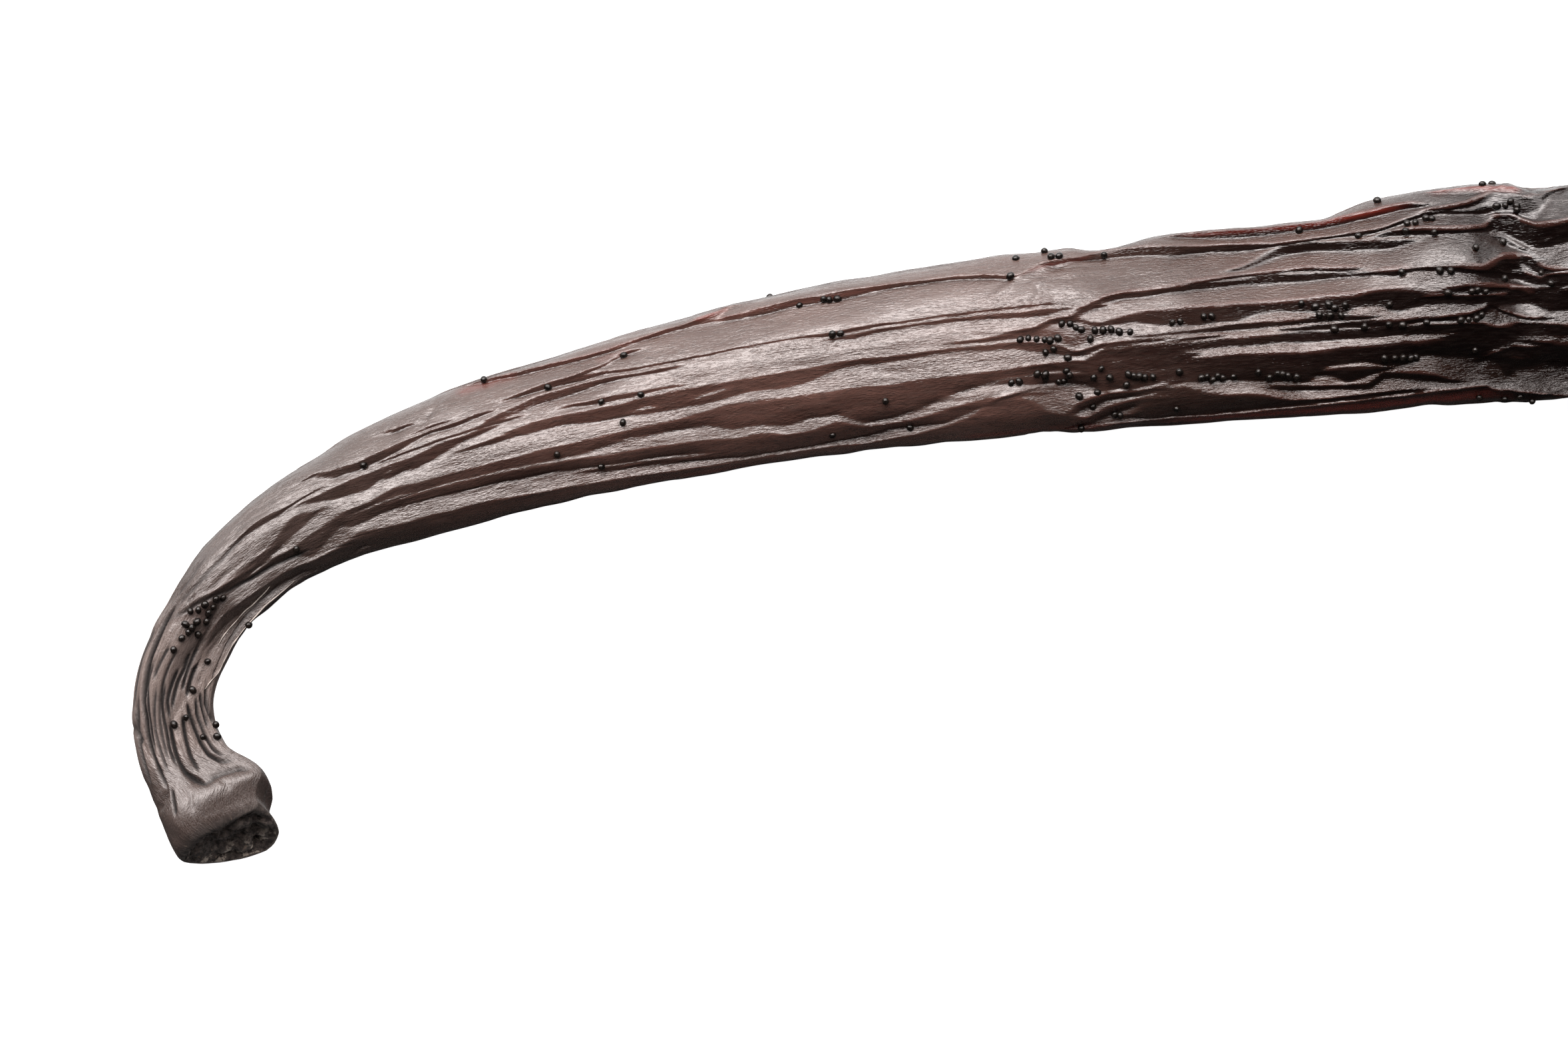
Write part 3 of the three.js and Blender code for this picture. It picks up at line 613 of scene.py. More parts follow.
def solve(m, steep, lip):
    """Height over the plain section: every face leans its own way and the skin stays near that section."""
    tan = lambda d: np.tan(np.radians(d))
    dark_lo, dark_hi = tan(steep), np.maximum(tan(62.0), 1.7 * SLOPE)
    base, vary = (np.interp(rows, *np.array(k, float).T)[:, None] for k in (LEAN, LEAN_VARIES))
    lean = base + vary * noise(s_eff / 46, a_eff / 17, 47)
    lit_lo, lit_hi = np.minimum(-tan(46.0), SLOPE), -tan(lean + 14.0 * lip)
    # nothing leans back at the very edges
    free = ease((-TILT - 68) / 12)
    lit_lo, lit_hi = lit_lo * (1 - free) + 0.5 * SLOPE * free, lit_hi * (1 - free) + 1.3 * SLOPE * free
    free = ease((TILT - 74) / 10)
    dark_lo, dark_hi = dark_lo * (1 - free) + 1.3 * SLOPE * free, dark_hi * (1 - free) + 0.5 * SLOPE * free
    lo = lit_lo * (1 - m) + dark_lo * m
    hi = lit_hi * (1 - m) + dark_hi * m
    reach = 20.0
    up = np.zeros_like(m)
    down = np.zeros_like(m)
    mid_slope = (top_z[:, 1:] - top_z[:, :-1]) / DA
    for j in range(1, NU):
        s = np.clip(mid_slope[:, j - 1] - up[:, j - 1] / reach, (lo[:, j] + lo[:, j - 1]) / 2, (hi[:, j] + hi[:, j - 1]) / 2)
        up[:, j] = up[:, j - 1] + (s - mid_slope[:, j - 1]) * DA[:, j - 1]
    for j in range(NU - 2, -1, -1):
        s = np.clip(mid_slope[:, j] + down[:, j + 1] / reach, (lo[:, j] + lo[:, j + 1]) / 2, (hi[:, j] + hi[:, j + 1]) / 2)
        down[:, j] = down[:, j + 1] - (s - mid_slope[:, j]) * DA[:, j]
    v = ease(np.linspace(0, 1, NU)[None, :])
    return up * (1 - v) + down * v


relief = np.zeros((NR, NU))
for _ in range(3):
    z_now = top_z + relief
    s_eff, a_eff = apparent(top_a, z_now, stem_shift(top_a, z_now))
    faces, steep, lip, line_weight = away_faces(s_eff, a_eff)
    relief = solve(faces, steep, lip)
    relief = blur(blur(relief, 0.9, 0), 0.4, 1)
# the skin's broad level changes slowly along the pod
level = blur(relief, 13, 1)
relief = relief - level + blur(level, 6, 0)
# past the second old bend the pod is turned a little on its own length
turned = (ease((rows - 2270) / 90) * (1 - ease((rows - 2560) / 240)))[:, None]
across = np.abs(top_a) / np.abs(top_a).max(axis=1, keepdims=True)
relief = relief + np.tan(np.radians(11.0)) * top_a * (1 - across**6) * turned
whole = top_z + relief
relief = relief + np.minimum(0.0, blur(whole, 0.8, 1) - whole)      # crests are a little rounder than valleys


def strokes(kind, s_eff, a_eff, size):
    """Adds raised or sunk lines, or paints them as a mask."""
    out = np.zeros_like(a_eff)
    for strength, half, line in kind:
        pts = np.array(line, float)
        r = np.where((rows > pts[:, 0].min() - 80) & (rows < pts[:, 0].max() + 80))[0]
        if len(r) == 0:
            continue
        r = slice(r[0], r[-1] + 1)
        se, ae = s_eff[r], a_eff[r]
        best = np.full(se.shape, 1e9)
        where = np.zeros(se.shape)
        total = np.hypot(*np.diff(pts, axis=0).T).sum()
        run = 0.0
        for p, q in zip(pts[:-1], pts[1:]):
            d = q - p
            n = np.hypot(*d)
            t = np.clip(((se - p[0]) * d[0] + (ae - p[1]) * d[1]) / n**2, 0, 1)
            dist = np.hypot(se - p[0] - t * d[0], ae - p[1] - t * d[1])
            near = dist < best
            best = np.where(near, dist, best)
            where = np.where(near, (run + t * n) / total, where)
            run += n
        fade = np.clip(np.minimum(where, 1 - where) / 0.12, 0.12, 1)
        add = strength * np.exp(-(best / half) ** 2) * fade
        out[r] = out[r] + add if size else np.maximum(out[r], add)
    return out


lift_z = relief                                      # the pleats move the skin straight up and down
relief = strokes(LINES, s_eff, a_eff, True)
line_weight = line_weight + strokes([(1.0, 3.0, k[2]) for k in LINES if k[2][-1][0] < 320], s_eff, a_eff, False)
# mask of the painted red glow of light through thin skin
red_glow = strokes(RED_GLOW, s_eff, a_eff, False)

# fine lengthwise wrinkles and a little unevenness everywhere
round_top = np.linspace(0, np.pi, NU)[None, :]
round_bot = np.pi + np.linspace(0, np.pi, NB)[None, :]
S = rows[:, None]


def wrinkles(ang, girth):
    t = ang / np.pi * girth                          # distance round, PX
    w = 0.55 * noise(S / 120 + 0 * t, t / 7.5, 51) + 0.35 * noise(S / 60, t / 4.2, 52)
    w = w + 0.9 * noise(S / 210, t / 17, 53)
    w = w + 0.5 * noise(S / 26, t / 11, 54) * ease((noise(S / 150, t / 60, 55) + 0.2) / 0.6)
    return w


girth_top = top_l[:, -1:]
girth_bot = bot_l[:, -1:]
t_top = top_l
t_bot = girth_top + bot_l
girth = girth_top + girth_bot


def seamless(fn, t):
    """Blends a pattern into itself where the section closes, under the pod."""
    k = ease((t - (girth - 60)) / 60)
    return fn(t) * (1 - k) + fn(t - girth) * k


def fine(t):
    w = 0.50 * noise(S / 110, t / 7.0, 51) + 0.30 * noise(S / 52, t / 4.0, 52)
    w = w + 0.85 * noise(S / 230, t / 18, 53)
    w = w + 0.6 * noise(S / 24, t / 12, 54) * ease((noise(S / 140, t / 60, 55) + 0.15) / 0.6)
    w = w + (1 - ease((S - 70) / 60)) * (1.6 * noise(S / 17, t / 15, 64) + 0.8 * noise(S / 8, t / 8, 65))
    neck = ease((S - 84) / 40) * (1 - ease((S - 310) / 80))
    g = np.abs(noise(S / 170, t / 7.0 + 0.35 * noise(S / 80, t / 40, 73), 74))
    w = w - 5.6 * neck * np.clip(1 - g / 0.26, 0, 1) * ease((noise(S / 55, t / 16, 75) + 0.25) / 0.35)
    # crumpled where it was bent
    crump = ease((S - 2366) / 24) * (1 - ease((S - 2680) / 240)) + 0.6 * np.exp(-((S - 1745) / 48) ** 2)
    w = w + crump * (1.5 * noise(S / 19, t / 9, 66) + 0.8 * noise(S / 12, t / 5, 67))
    crump = np.exp(-((S - 400) / 120) ** 2)
    w = w + crump * (1.1 * noise(S / 30 + t / 14, t / 10 - S / 60, 68) + 0.8 * noise(S / 15, t / 8, 69))
    # thin sharp grooves, lengthwise, here and there
    for k, (long, wide) in enumerate(((95, 8.5), (60, 5.5))):
        g = np.abs(noise(S / long, t / wide + 0.4 * noise(S / 150, t / 50, 57 + k), 58 + k))
        w = w - (1.15 - 0.35 * k) * np.clip(1 - g / 0.16, 0, 1) * ease((noise(S / 70, t / 22, 60 + k) - 0.05) / 0.35)
    return w


def side_pleats(t):
    """Pleats of the flanks and the underside: sharp valleys and round crests."""
    drift = 26 * noise(S / 900, t / 240, 61) + 8 * noise(S / 260, t / 120, 62)
    for c in CREASES:
        d = (S - c / PX) / 55
        drift = drift + 7 * math.sin(c) * np.tanh(d) * np.exp(-(d / 5) ** 2)
    phase = (t + drift) / 27.0
    tooth = np.abs(np.sin(np.pi * phase)) ** 0.75
    second = np.abs(np.sin(np.pi * ((t - drift) / 15.0))) ** 0.8
    size = 0.45 + 0.55 * noise(S / 420, t / 40, 63)
    return (tooth - 0.6) * np.clip(size, 0.15, 1.2) * 8.5 + (second - 0.6) * np.clip(0.6 - size, 0, 1) * 5.0


body = ease((S - 90) / 260) * ease((LENGTH / PX - S) / 260)
edge_top = 1 - ease((90 - np.abs(TILT)) / 34)        # 1 at the widest line, 0 well inside
depth_bot = 0.35 + 0.65 * np.sin(np.linspace(0, np.pi, NB))[None, :] ** 0.6
calm_neck = 0.45 + 0.55 * ease((S - 230) / 150)
relief_top = relief + seamless(fine, t_top) * calm_neck * (1 - 0.4 * (S < 60))
relief_top = relief_top + seamless(side_pleats, t_top) * edge_top * 0.35 * body
relief_bot = seamless(fine, t_bot) * calm_neck + seamless(side_pleats, t_bot) * depth_bot * body
# both halves meet at the widest line
meet = relief_top[:, -1:], relief_top[:, :1]
k = np.linspace(0, 1, NB)[None, :]
relief_bot = relief_bot + (meet[0] - relief_bot[:, :1]) * (1 - ease(k / 0.08)) \
    + (meet[1] - relief_bot[:, -1:]) * ease((k - 0.92) / 0.08)

top_a2, top_z2 = top_a + relief_top * top_na, top_z + lift_z + relief_top * top_nz
bot_a2, bot_z2 = bot_a + relief_bot * bot_na, bot_z + relief_bot * bot_nz


def place(a, z):
    """(across, height about the centre) in PX to points in mm; pressed flat where it rests."""
    sh = stem_shift(a, z)
    p = C0[:, None, :] + N0[:, None, :] * (a * PX)[..., None] + T0[:, None, :] * (sh * PX)[..., None]
    h = (z + centre_z[:, None]) * PX
    soft = 0.10
    h = np.where(h < soft, soft * np.exp(np.minimum((h - soft) / soft, 0)) * 0.5 + 0.0, h - soft * 0.5)
    h = np.maximum(h, 0.0)
    return np.concatenate([p, h[..., None]], -1)


TOP = place(top_a2, top_z2)                          # NR x NU x 3, mm
BOT = place(bot_a2, bot_z2)
# how far the skin stands above (+) or below (-) its surroundings; the skin material paints shade into the hollows and
# a red-brown glow onto the crests by it
hollow = (lift_z + relief_top) - blur(lift_z + relief_top, 7, 1)

# ---- rings and columns of the mesh -------------------------------------------------
def spaced(parts):
    out = []
    for a, b, d in parts:
        n = max(1, int(round((b - a) / d)))
        out += list(a + (b - a) * np.arange(n) / n)
    return np.array(out + [parts[-1][1]])


END = LENGTH / PX
ring_s = spaced([(0, 24, 2.2), (24, 60, 4.0), (60, 400, 5.5), (400, 1620, 6.6), (1620, 1830, 4.2), (1830, 2330, 6.0),
                 (2330, 2500, 3.8), (2500, 2560, 6.0)])
NEAR = len(ring_s)                                   # from here on every other column goes on
ring_s = np.concatenate([ring_s, spaced([(2572, 3300, 16), (3300, 3620, 12), (3620, 4400, 17), (4400, 4680, 12),
                                         (4680, 5330, 17), (5330, 5580, 12), (5580, 6200, 15), (6200, END, 5.5)])])
N_TOP, N_BOT = 130, 30

# crowd the columns where the skin turns sharply
bend = np.abs(np.gradient(np.gradient(lift_z + relief_top, axis=1), axis=1))
bend = blur(blur(bend, 5, 0), 1.5, 1)
weight = 1 + 1.2 * np.clip(bend / (np.percentile(bend, 92) + 1e-9), 0, 1.6) + 2.6 * np.clip(line_weight, 0, 1.2)
weight = blur(weight, 4, 0)
cum = np.concatenate([np.zeros((NR, 1)), np.cumsum((weight[:, 1:] + weight[:, :-1]) / 2, axis=1)], axis=1)
cum /= cum[:, -1:]
want = np.linspace(0, 1, N_TOP)
cols = np.array([np.interp(want, cum[i], np.arange(NU)) for i in range(NR)])


def lookup(grid, r, c):
    """Bilinear sample of a rows x columns grid (last axis may hold vectors)."""
    r0 = np.clip(np.floor(r).astype(int), 0, grid.shape[0] - 2)
    c0 = np.clip(np.floor(c).astype(int), 0, grid.shape[1] - 2)
    fr, fc = r - r0, c - c0
    if grid.ndim == 3:
        fr, fc = fr[..., None], fc[..., None]
    return ((grid[r0, c0] * (1 - fc) + grid[r0, c0 + 1] * fc) * (1 - fr)
            + (grid[r0 + 1, c0] * (1 - fc) + grid[r0 + 1, c0 + 1] * fc) * fr)


ring_r = np.interp(ring_s, rows, np.arange(NR))
NRING = len(ring_s)
col_top = np.array([[np.interp(r, np.arange(NR), cols[:, j]) for j in range(N_TOP)] for r in ring_r])
even = np.linspace(0, 1, N_BOT + 2)[1:-1]
col_bot = np.broadcast_to((0.45 * even + 0.55 * (0.5 - 0.5 * np.cos(np.pi * even))) * (NB - 1), (NRING, N_BOT))
rr_t = np.broadcast_to(ring_r[:, None], col_top.shape)
rr_b = np.broadcast_to(ring_r[:, None], col_bot.shape)
loop = np.concatenate([lookup(TOP, rr_t, col_top), lookup(BOT, rr_b, col_bot)], axis=1)
NC = N_TOP + N_BOT
for i in np.where(ring_s < 20)[0]:
    hub = loop[i].mean(0)
    upper = ease((loop[i][:, 2] - hub[2]) / 1.2 + 0.5)
    r = 7 + 10 * upper
    u = np.clip((r - ring_s[i]) / r, 0, 1)
    inset = r * (1 - np.sqrt(1 - 0.96 * u * u)) * PX
    away = loop[i] - hub
    loop[i] = hub + away * (1 - inset / np.linalg.norm(away, axis=1))[:, None]
# sunk lines of the neck and hook, as a mask for the painted shade inside them
crack_shade = strokes([(min(1.0, -k[0] / 5), k[1] + 0.5, k[2]) for k in LINES if k[0] < 0 and k[1] < 2.9 and k[2][0][0] > 62 and k[2][-1][0] < 620],
                s_eff, a_eff, False)
away = blur(faces, 0.8, 1)
zero_b = np.zeros((NR, NB))
attr = {
    "red_glow": np.concatenate([lookup(red_glow * (1 - 0.9 * ease((np.abs(TILT) - 66) / 14)), rr_t, col_top), lookup(zero_b, rr_b, col_bot)], axis=1),
    "flank": np.concatenate([lookup(ease((np.abs(TILT) - 62) / 26), rr_t, col_top), lookup(zero_b + 1, rr_b, col_bot)], axis=1),
    "crack_shade": np.concatenate([lookup(crack_shade, rr_t, col_top), lookup(zero_b, rr_b, col_bot)], axis=1),
    "away": np.concatenate([lookup(away, rr_t, col_top), lookup(zero_b + 0.5, rr_b, col_bot)], axis=1),
    "hollow": np.concatenate([lookup(hollow, rr_t, col_top), lookup(zero_b, rr_b, col_bot)], axis=1),
    "round_mm": np.concatenate([lookup(t_top, rr_t, col_top), lookup(t_bot, rr_b, col_bot)], axis=1) * PX,
    "s_mm": np.broadcast_to(ring_s[:, None], (NRING, NC)) * PX,
    "scar": np.zeros((NRING, NC)),
}


def cap(edge, inward, hollow_mm, rough_mm, seed, steps):
    """Rings that close an end: from the edge to its middle, sunk and crumbly."""
    mid = edge.mean(0)
    rings = []
    ang = np.linspace(0, 2 * np.pi, len(edge), endpoint=False)
    for f in steps:
        p = mid + (edge - mid) * f
        dep = hollow_mm * (1 - f**2.2)
        rough = rough_mm * min(1.0, (1 - f) * 6)
        bump = (1.1 * noise(p[:, 0] / 0.62, p[:, 1] / 0.5 + p[:, 2] / 0.7, seed)
                + 0.8 * noise(p[:, 0] / 0.27, p[:, 1] / 0.25 + p[:, 2] / 0.3, seed + 1)
                + 0.35 * noise(p[:, 0] / 0.11, p[:, 1] / 0.11 + p[:, 2] / 0.12, seed + 2))
        q = p + inward * (dep + rough * bump)[:, None]
        rings.append(q)
    return rings, mid + inward * hollow_mm


edge = loop[0]
# the stem scar's plane
u = edge - edge.mean(0)
_, _, vt = np.linalg.svd(u, full_matrices=False)
normal = vt[2]
if normal @ np.array([T0[0, 0], T0[0, 1], 0.0]) < 0:
    normal = -normal
steps0 = [0.975, 0.94, 0.90, 0.85, 0.80, 0.74, 0.68, 0.61, 0.54, 0.47, 0.40, 0.32, 0.24, 0.16, 0.08]
rings0, mid0 = cap(edge, normal, 0.36, 0.25, 81, steps0)
steps1 = [0.86, 0.66, 0.42, 0.2]
NH = NC // 2
rings1, mid1 = cap(loop[-1, ::2], np.array([-1.0, 0.0, 0.0]), 0.10, 0.02, 91, steps1)

# near rings carry NC columns, the rings past NEAR carry every other one
n_near, n_far = len(rings0) + NEAR, NRING - NEAR + len(rings1)
near_co = np.concatenate([np.stack(rings0[::-1]), loop[:NEAR]])
far_co = np.concatenate([loop[NEAR:, ::2], np.stack(rings1)])
verts = np.vstack([near_co.reshape(-1, 3), far_co.reshape(-1, 3), mid0[None, :], mid1[None, :]])
verts[:, 2] = np.maximum(verts[:, 2], 0.0)
ia = np.arange(n_near * NC).reshape(n_near, NC)
ib = n_near * NC + np.arange(n_far * NH).reshape(n_far, NH)
i_mid0, i_mid1 = len(verts) - 2, len(verts) - 1


def ring_quads(g):
    return np.stack([g[:-1], np.roll(g[:-1], -1, 1), np.roll(g[1:], -1, 1), g[1:]], -1).reshape(-1, 4)


quads = np.vstack([ring_quads(ia), ring_quads(ib)])
n0_, n1_, n2_ = ia[-1, ::2], ia[-1, 1::2], np.roll(ia[-1, ::2], -1)
f0_, f1_ = ib[0], np.roll(ib[0], -1)
tris = np.vstack([np.stack([n0_, n1_, f0_], -1), np.stack([n1_, f1_, f0_], -1), np.stack([n1_, n2_, f1_], -1),
                  np.stack([np.full(NC, i_mid0), np.roll(ia[0], -1), ia[0]], -1),
                  np.stack([np.full(NH, i_mid1), ib[-1], np.roll(ib[-1], -1)], -1)])
both_tris = np.vstack([quads[:, [0, 1, 2]], quads[:, [0, 2, 3]], tris])
tv = verts[both_tris]
if np.einsum("ij,ij->i", tv[:, 0], np.cross(tv[:, 1], tv[:, 2])).sum() < 0:
    quads, tris = quads[:, ::-1], tris[:, ::-1]
ring_of = np.concatenate([np.repeat(np.arange(n_near), NC), n_near + np.repeat(np.arange(n_far), NH), [0, n_near + n_far - 1]])
col_of = np.concatenate([np.tile(np.arange(NC), n_near), np.tile(np.arange(NH) * 2, n_far), [0, 0]])


def full(name, first, last):
    g = attr[name]
    a = np.concatenate([np.broadcast_to(first, (len(rings0), NC)), g[:NEAR]])
    b = np.concatenate([g[NEAR:, ::2], np.broadcast_to(last, (len(rings1), NH))])
    return np.concatenate([a.ravel(), b.ravel(), [a[0, 0], b[-1, -1]]]).astype(np.float32)


scar_grid = np.clip(1 - (attr["s_mm"] - 0.0) / 0.30, 0, 1)
attr["scar"] = scar_grid


def build_mesh(name, co, faces, smooth=True):
    """faces: list of index arrays, each with one row per face."""
    me = bpy.data.meshes.new(name)
    loops = np.concatenate([f.ravel() for f in faces]).astype(np.int32)
    sizes = np.concatenate([np.full(len(f), f.shape[1]) for f in faces]).astype(np.int32)
    starts = np.concatenate([[0], np.cumsum(sizes)[:-1]]).astype(np.int32)
    me.vertices.add(len(co))
    me.vertices.foreach_set("co", (co * 0.001).astype(np.float32).ravel())
    me.loops.add(len(loops))
    me.loops.foreach_set("vertex_index", loops)
    me.polygons.add(len(sizes))
    me.polygons.foreach_set("loop_start", starts)
    me.update(calc_edges=True)
    me.validate(clean_customdata=False)
    if smooth:
        me.polygons.foreach_set("use_smooth", np.ones(len(me.polygons), bool))
    ob = bpy.data.objects.new(name, me)
    bpy.context.scene.collection.objects.link(ob)
    return ob


skin = build_mesh("vanilla_pod_skin", verts, [quads, tris])
me = skin.data

grain = np.zeros((len(verts), 3), np.float32)
grain[:, 0] = full("s_mm", 0.0, LENGTH)
grain[:, 1] = full("round_mm", attr["round_mm"][0], attr["round_mm"][-1, ::2])
n0 = len(rings0) * NC
grain[:n0] = verts[:n0].astype(np.float32)
grain[i_mid0] = verts[i_mid0]
at = me.attributes.new("grain", "FLOAT_VECTOR", "POINT")
at.data.foreach_set("vector", grain.ravel())
at = me.attributes.new("high", "FLOAT", "POINT")
at.data.foreach_set("value", verts[:, 2].astype(np.float32))
for name, first, last in (("red_glow", 0.0, 0.0), ("flank", 0.0, 1.0), ("crack_shade", 0.0, 0.0), ("away", 0.5, 0.5), ("hollow", 0.0, 0.0), ("scar", 1.0, 0.4), ("s_mm", 0.0, LENGTH)):
    at = me.attributes.new(name, "FLOAT", "POINT")
    at.data.foreach_set("value", full(name, first, last))

# a map in three stacked bands, so that a square picture holds the long skin evenly
uv = me.uv_layers.new(name="OFBake")
loop_v = np.zeros(len(me.loops), np.int32)
me.loops.foreach_get("vertex_index", loop_v)
length_of = np.concatenate([-2.2 * (1 - np.array(steps0[::-1])), ring_s * PX, LENGTH + 1.0 * (1 - np.array(steps1))])
f_loops = np.zeros(len(me.polygons), np.int32)
me.polygons.foreach_get("loop_total", f_loops)
f_of_loop = np.repeat(np.arange(len(me.polygons)), f_loops)
ring_l = ring_of[loop_v]
col_l = col_of[loop_v].astype(float)
start_of = np.zeros(len(me.polygons), np.int32)
me.polygons.foreach_get("loop_start", start_of)
fmin = np.full(len(me.polygons), 10**9)
np.minimum.at(fmin, f_of_loop, ring_l)
cmax = np.zeros(len(me.polygons))
np.maximum.at(cmax, f_of_loop, col_l)
col_l = np.where((cmax[f_of_loop] >= NC - 2) & (col_l == 0), NC, col_l)
special = loop_v >= i_mid0
face_len = length_of[np.clip(fmin, 0, len(length_of) - 1)]
lo_len, hi_len = -2.4, LENGTH + 1.2
third = (hi_len - lo_len) / 3
band = np.clip(((face_len - lo_len) / third).astype(int), 0, 2)
x = (length_of[ring_l] - lo_len - band[f_of_loop] * third) / third
uvs = np.stack([0.004 + 0.98 * np.clip(x, 0, 1.012), (band[f_of_loop] + 0.01 + 0.98 * col_l / NC) / 3], -1)
for li in np.where(special)[0]:
    f = f_of_loop[li]
    near = slice(start_of[f], start_of[f] + f_loops[f])
    uvs[li, 1] = np.sort(uvs[near, 1])[1]
    uvs[li, 0] += -0.003 if ring_l[li] == 0 else 0.003
uv.data.foreach_set("uv", uvs.astype(np.float32).ravel())


# ---- loose seeds ---------------------------------------------------------------------
def sphere(n_lat, n_lon):
    pts = [(0, 0, 1.0)]
    for i in range(1, n_lat):
        t = math.pi * i / n_lat
        for j in range(n_lon):
            p = 2 * math.pi * (j + 0.5 * (i % 2)) / n_lon
            pts.append((math.sin(t) * math.cos(p), math.sin(t) * math.sin(p), math.cos(t)))
    pts.append((0, 0, -1.0))
    f = []
    for j in range(n_lon):
        f.append((0, 1 + j, 1 + (j + 1) % n_lon))
    for i in range(n_lat - 2):
        for j in range(n_lon):
            p, q = 1 + i * n_lon + j, 1 + i * n_lon + (j + 1) % n_lon
            f.append((p, p + n_lon, q))
            f.append((q, p + n_lon, q + n_lon))
    last = len(pts) - 1
    base = 1 + (n_lat - 2) * n_lon
    for j in range(n_lon):
        f.append((base + j, last, base + (j + 1) % n_lon))
    return np.array(pts), np.array(f)


def surface_point(s_px, a_px):
    """The skin's point and outward direction under a picture point."""
    i = int(np.clip(round(s_px / ROW), 1, NR - 2))
    best = None
    for r in range(max(1, i - 10), min(NR - 1, i + 11)):
        d = np.hypot(s_eff[r] - s_px, a_eff[r] - a_px)
        j = int(np.argmin(d))
        if best is None or d[j] < best[0]:
            best = (d[j], r, j)
    _, r, j = best
    j = min(max(j, 1), NU - 2)
    p = TOP[r, j]
    n = np.cross(TOP[r + 1, j] - TOP[r - 1, j], TOP[r, j + 1] - TOP[r, j - 1])
    n = n / (np.linalg.norm(n) + 1e-12)
    if n[2] < 0:
        n = -n
    return p, n


rng = np.random.default_rng(5)
unit, unit_f = sphere(8, 11)
seed_v, seed_f = [], []


def add_seed(p, n, sink):
    size = rng.uniform(0.88, 1.12) * 0.150
    axes = size * np.array([1.0, rng.uniform(0.80, 0.90), rng.uniform(0.74, 0.86)])
    q = rng.normal(size=3)
    q = q - n * (q @ n) * 0.8
    e1 = q / np.linalg.norm(q)
    e2 = np.cross(n, e1)
    e2 /= np.linalg.norm(e2)
    e3 = np.cross(e1, e2)
    wob = 1 + 0.035 * noise(unit[:, 0] * 2 + 7 * len(seed_v), unit[:, 1] * 2 + unit[:, 2] * 2, 88)
    pts = (unit * wob[:, None] * axes) @ np.stack([e1, e2, e3])
    c = p + n * axes[2] * sink
    pts = pts + c
    low = pts[:, 2].min()
    if low < 0.0:
        pts[:, 2] -= low
    seed_f.append(unit_f + len(unit) * len(seed_v))
    seed_v.append(pts)


for s_px, a_px in SEEDS:
    p, n = surface_point(s_px, a_px)
    add_seed(p, n, rng.uniform(0.05, 0.55))

# the far stretch carries a few too, along the valleys
far = []
for _ in range(15):
    s0, q = rng.uniform(2600, 6000), rng.uniform(-0.8, 0.85)
    for _ in range(int(rng.integers(2, 12))):
        s1 = s0 + rng.normal() * 34
        r = int(np.clip(round(s1 / ROW), 2, NR - 3))
        j0 = int(np.clip((q * 0.5 + 0.5) * NU + rng.normal() * 5, 8, NU - 9))
        span = (lift_z + relief_top)[r, j0 - 7:j0 + 8]
        j = j0 - 7 + int(np.argmin(span))
        p = TOP[r, j]
        if all(np.linalg.norm(p - o) > 0.25 for o in far):
            far.append(p)
            n = np.cross(TOP[r + 1, j] - TOP[r - 1, j], TOP[r, j + 1] - TOP[r, j - 1])
            n = n / (np.linalg.norm(n) + 1e-12)
            add_seed(p, n if n[2] > 0 else -n, rng.uniform(0.5, 0.8))
for _ in range(46):
    r = int(rng.integers(60, NR - 30))
    j = int(rng.integers(4, NB - 5))
    if BOT[r, j, 2] < 0.5:
        continue
    n = np.cross(BOT[r + 1, j] - BOT[r - 1, j], BOT[r, j + 1] - BOT[r, j - 1])
    n = n / (np.linalg.norm(n) + 1e-12)
    out = BOT[r, j] - np.array([C0[r, 0], C0[r, 1], centre_z[r] * PX])
    add_seed(BOT[r, j], n if n @ out > 0 else -n, 0.6)

seeds = build_mesh("vanilla_seeds", np.vstack(seed_v), [np.vstack(seed_f)])

# ---- thin skin ridges as fine pale strands, the light through them painted pale --------
ridge_v, ridge_f = [], []
for line in LIT_RIDGES:
    pts = np.array(line, float)
    d = np.concatenate([[0], np.cumsum(np.hypot(*np.diff(pts, axis=0).T))])
    t = np.linspace(0, d[-1], 40)
    sx = np.interp(t, d, pts[:, 0])
    ax = np.interp(t, d, pts[:, 1]) + 1.8 * noise(t / 18, 0.5, 95)
    path = []
    for s1, a1 in zip(sx, ax):
        p, n = surface_point(s1, a1)
        path.append(p + n * (0.018 + 0.02 * abs(noise(s1 / 30, 3.0, 96))))
    path = np.array(path)
    path = np.stack([blur(path[:, c], 1.4, 0) for c in range(3)], -1)
    tan = np.gradient(path, axis=0)
    tan /= np.linalg.norm(tan, axis=1)[:, None]
    up = np.array([0, 0, 1.0])
    e1 = np.cross(tan, up)
    e1 /= np.linalg.norm(e1, axis=1)[:, None]
    e2 = np.cross(e1, tan)
    sides = 7
    rad = 0.025 * np.sin(np.pi * np.linspace(0.04, 0.96, len(path))) ** 0.4 * (1 + 0.5 * noise(sx / 11, 0.0, 97))
    ring = np.stack([path + (e1 * math.cos(2 * math.pi * k / sides) + e2 * math.sin(2 * math.pi * k / sides)) * rad[:, None]
                     for k in range(sides)], 1)
    base = sum(len(v) for v in ridge_v)
    ridge_v.append(np.vstack([ring.reshape(-1, 3), path[:1], path[-1:]]))
    gi = base + np.arange(len(path) * sides).reshape(len(path), sides)
    q = np.stack([gi[:-1], np.roll(gi[:-1], -1, 1), np.roll(gi[1:], -1, 1), gi[1:]], -1).reshape(-1, 4)
    tri = np.concatenate([q[:, [0, 1, 2]], q[:, [0, 2, 3]]])
    e0 = np.stack([np.full(sides, base + len(path) * sides), np.roll(gi[0], -1), gi[0]], -1)
    e9 = np.stack([np.full(sides, base + len(path) * sides + 1), gi[-1], np.roll(gi[-1], -1)], -1)
    ridge_f.append(np.vstack([tri, e0, e9]))
lit_ridges = build_mesh("painted_lit_ridges", np.vstack(ridge_v), [np.vstack(ridge_f)])


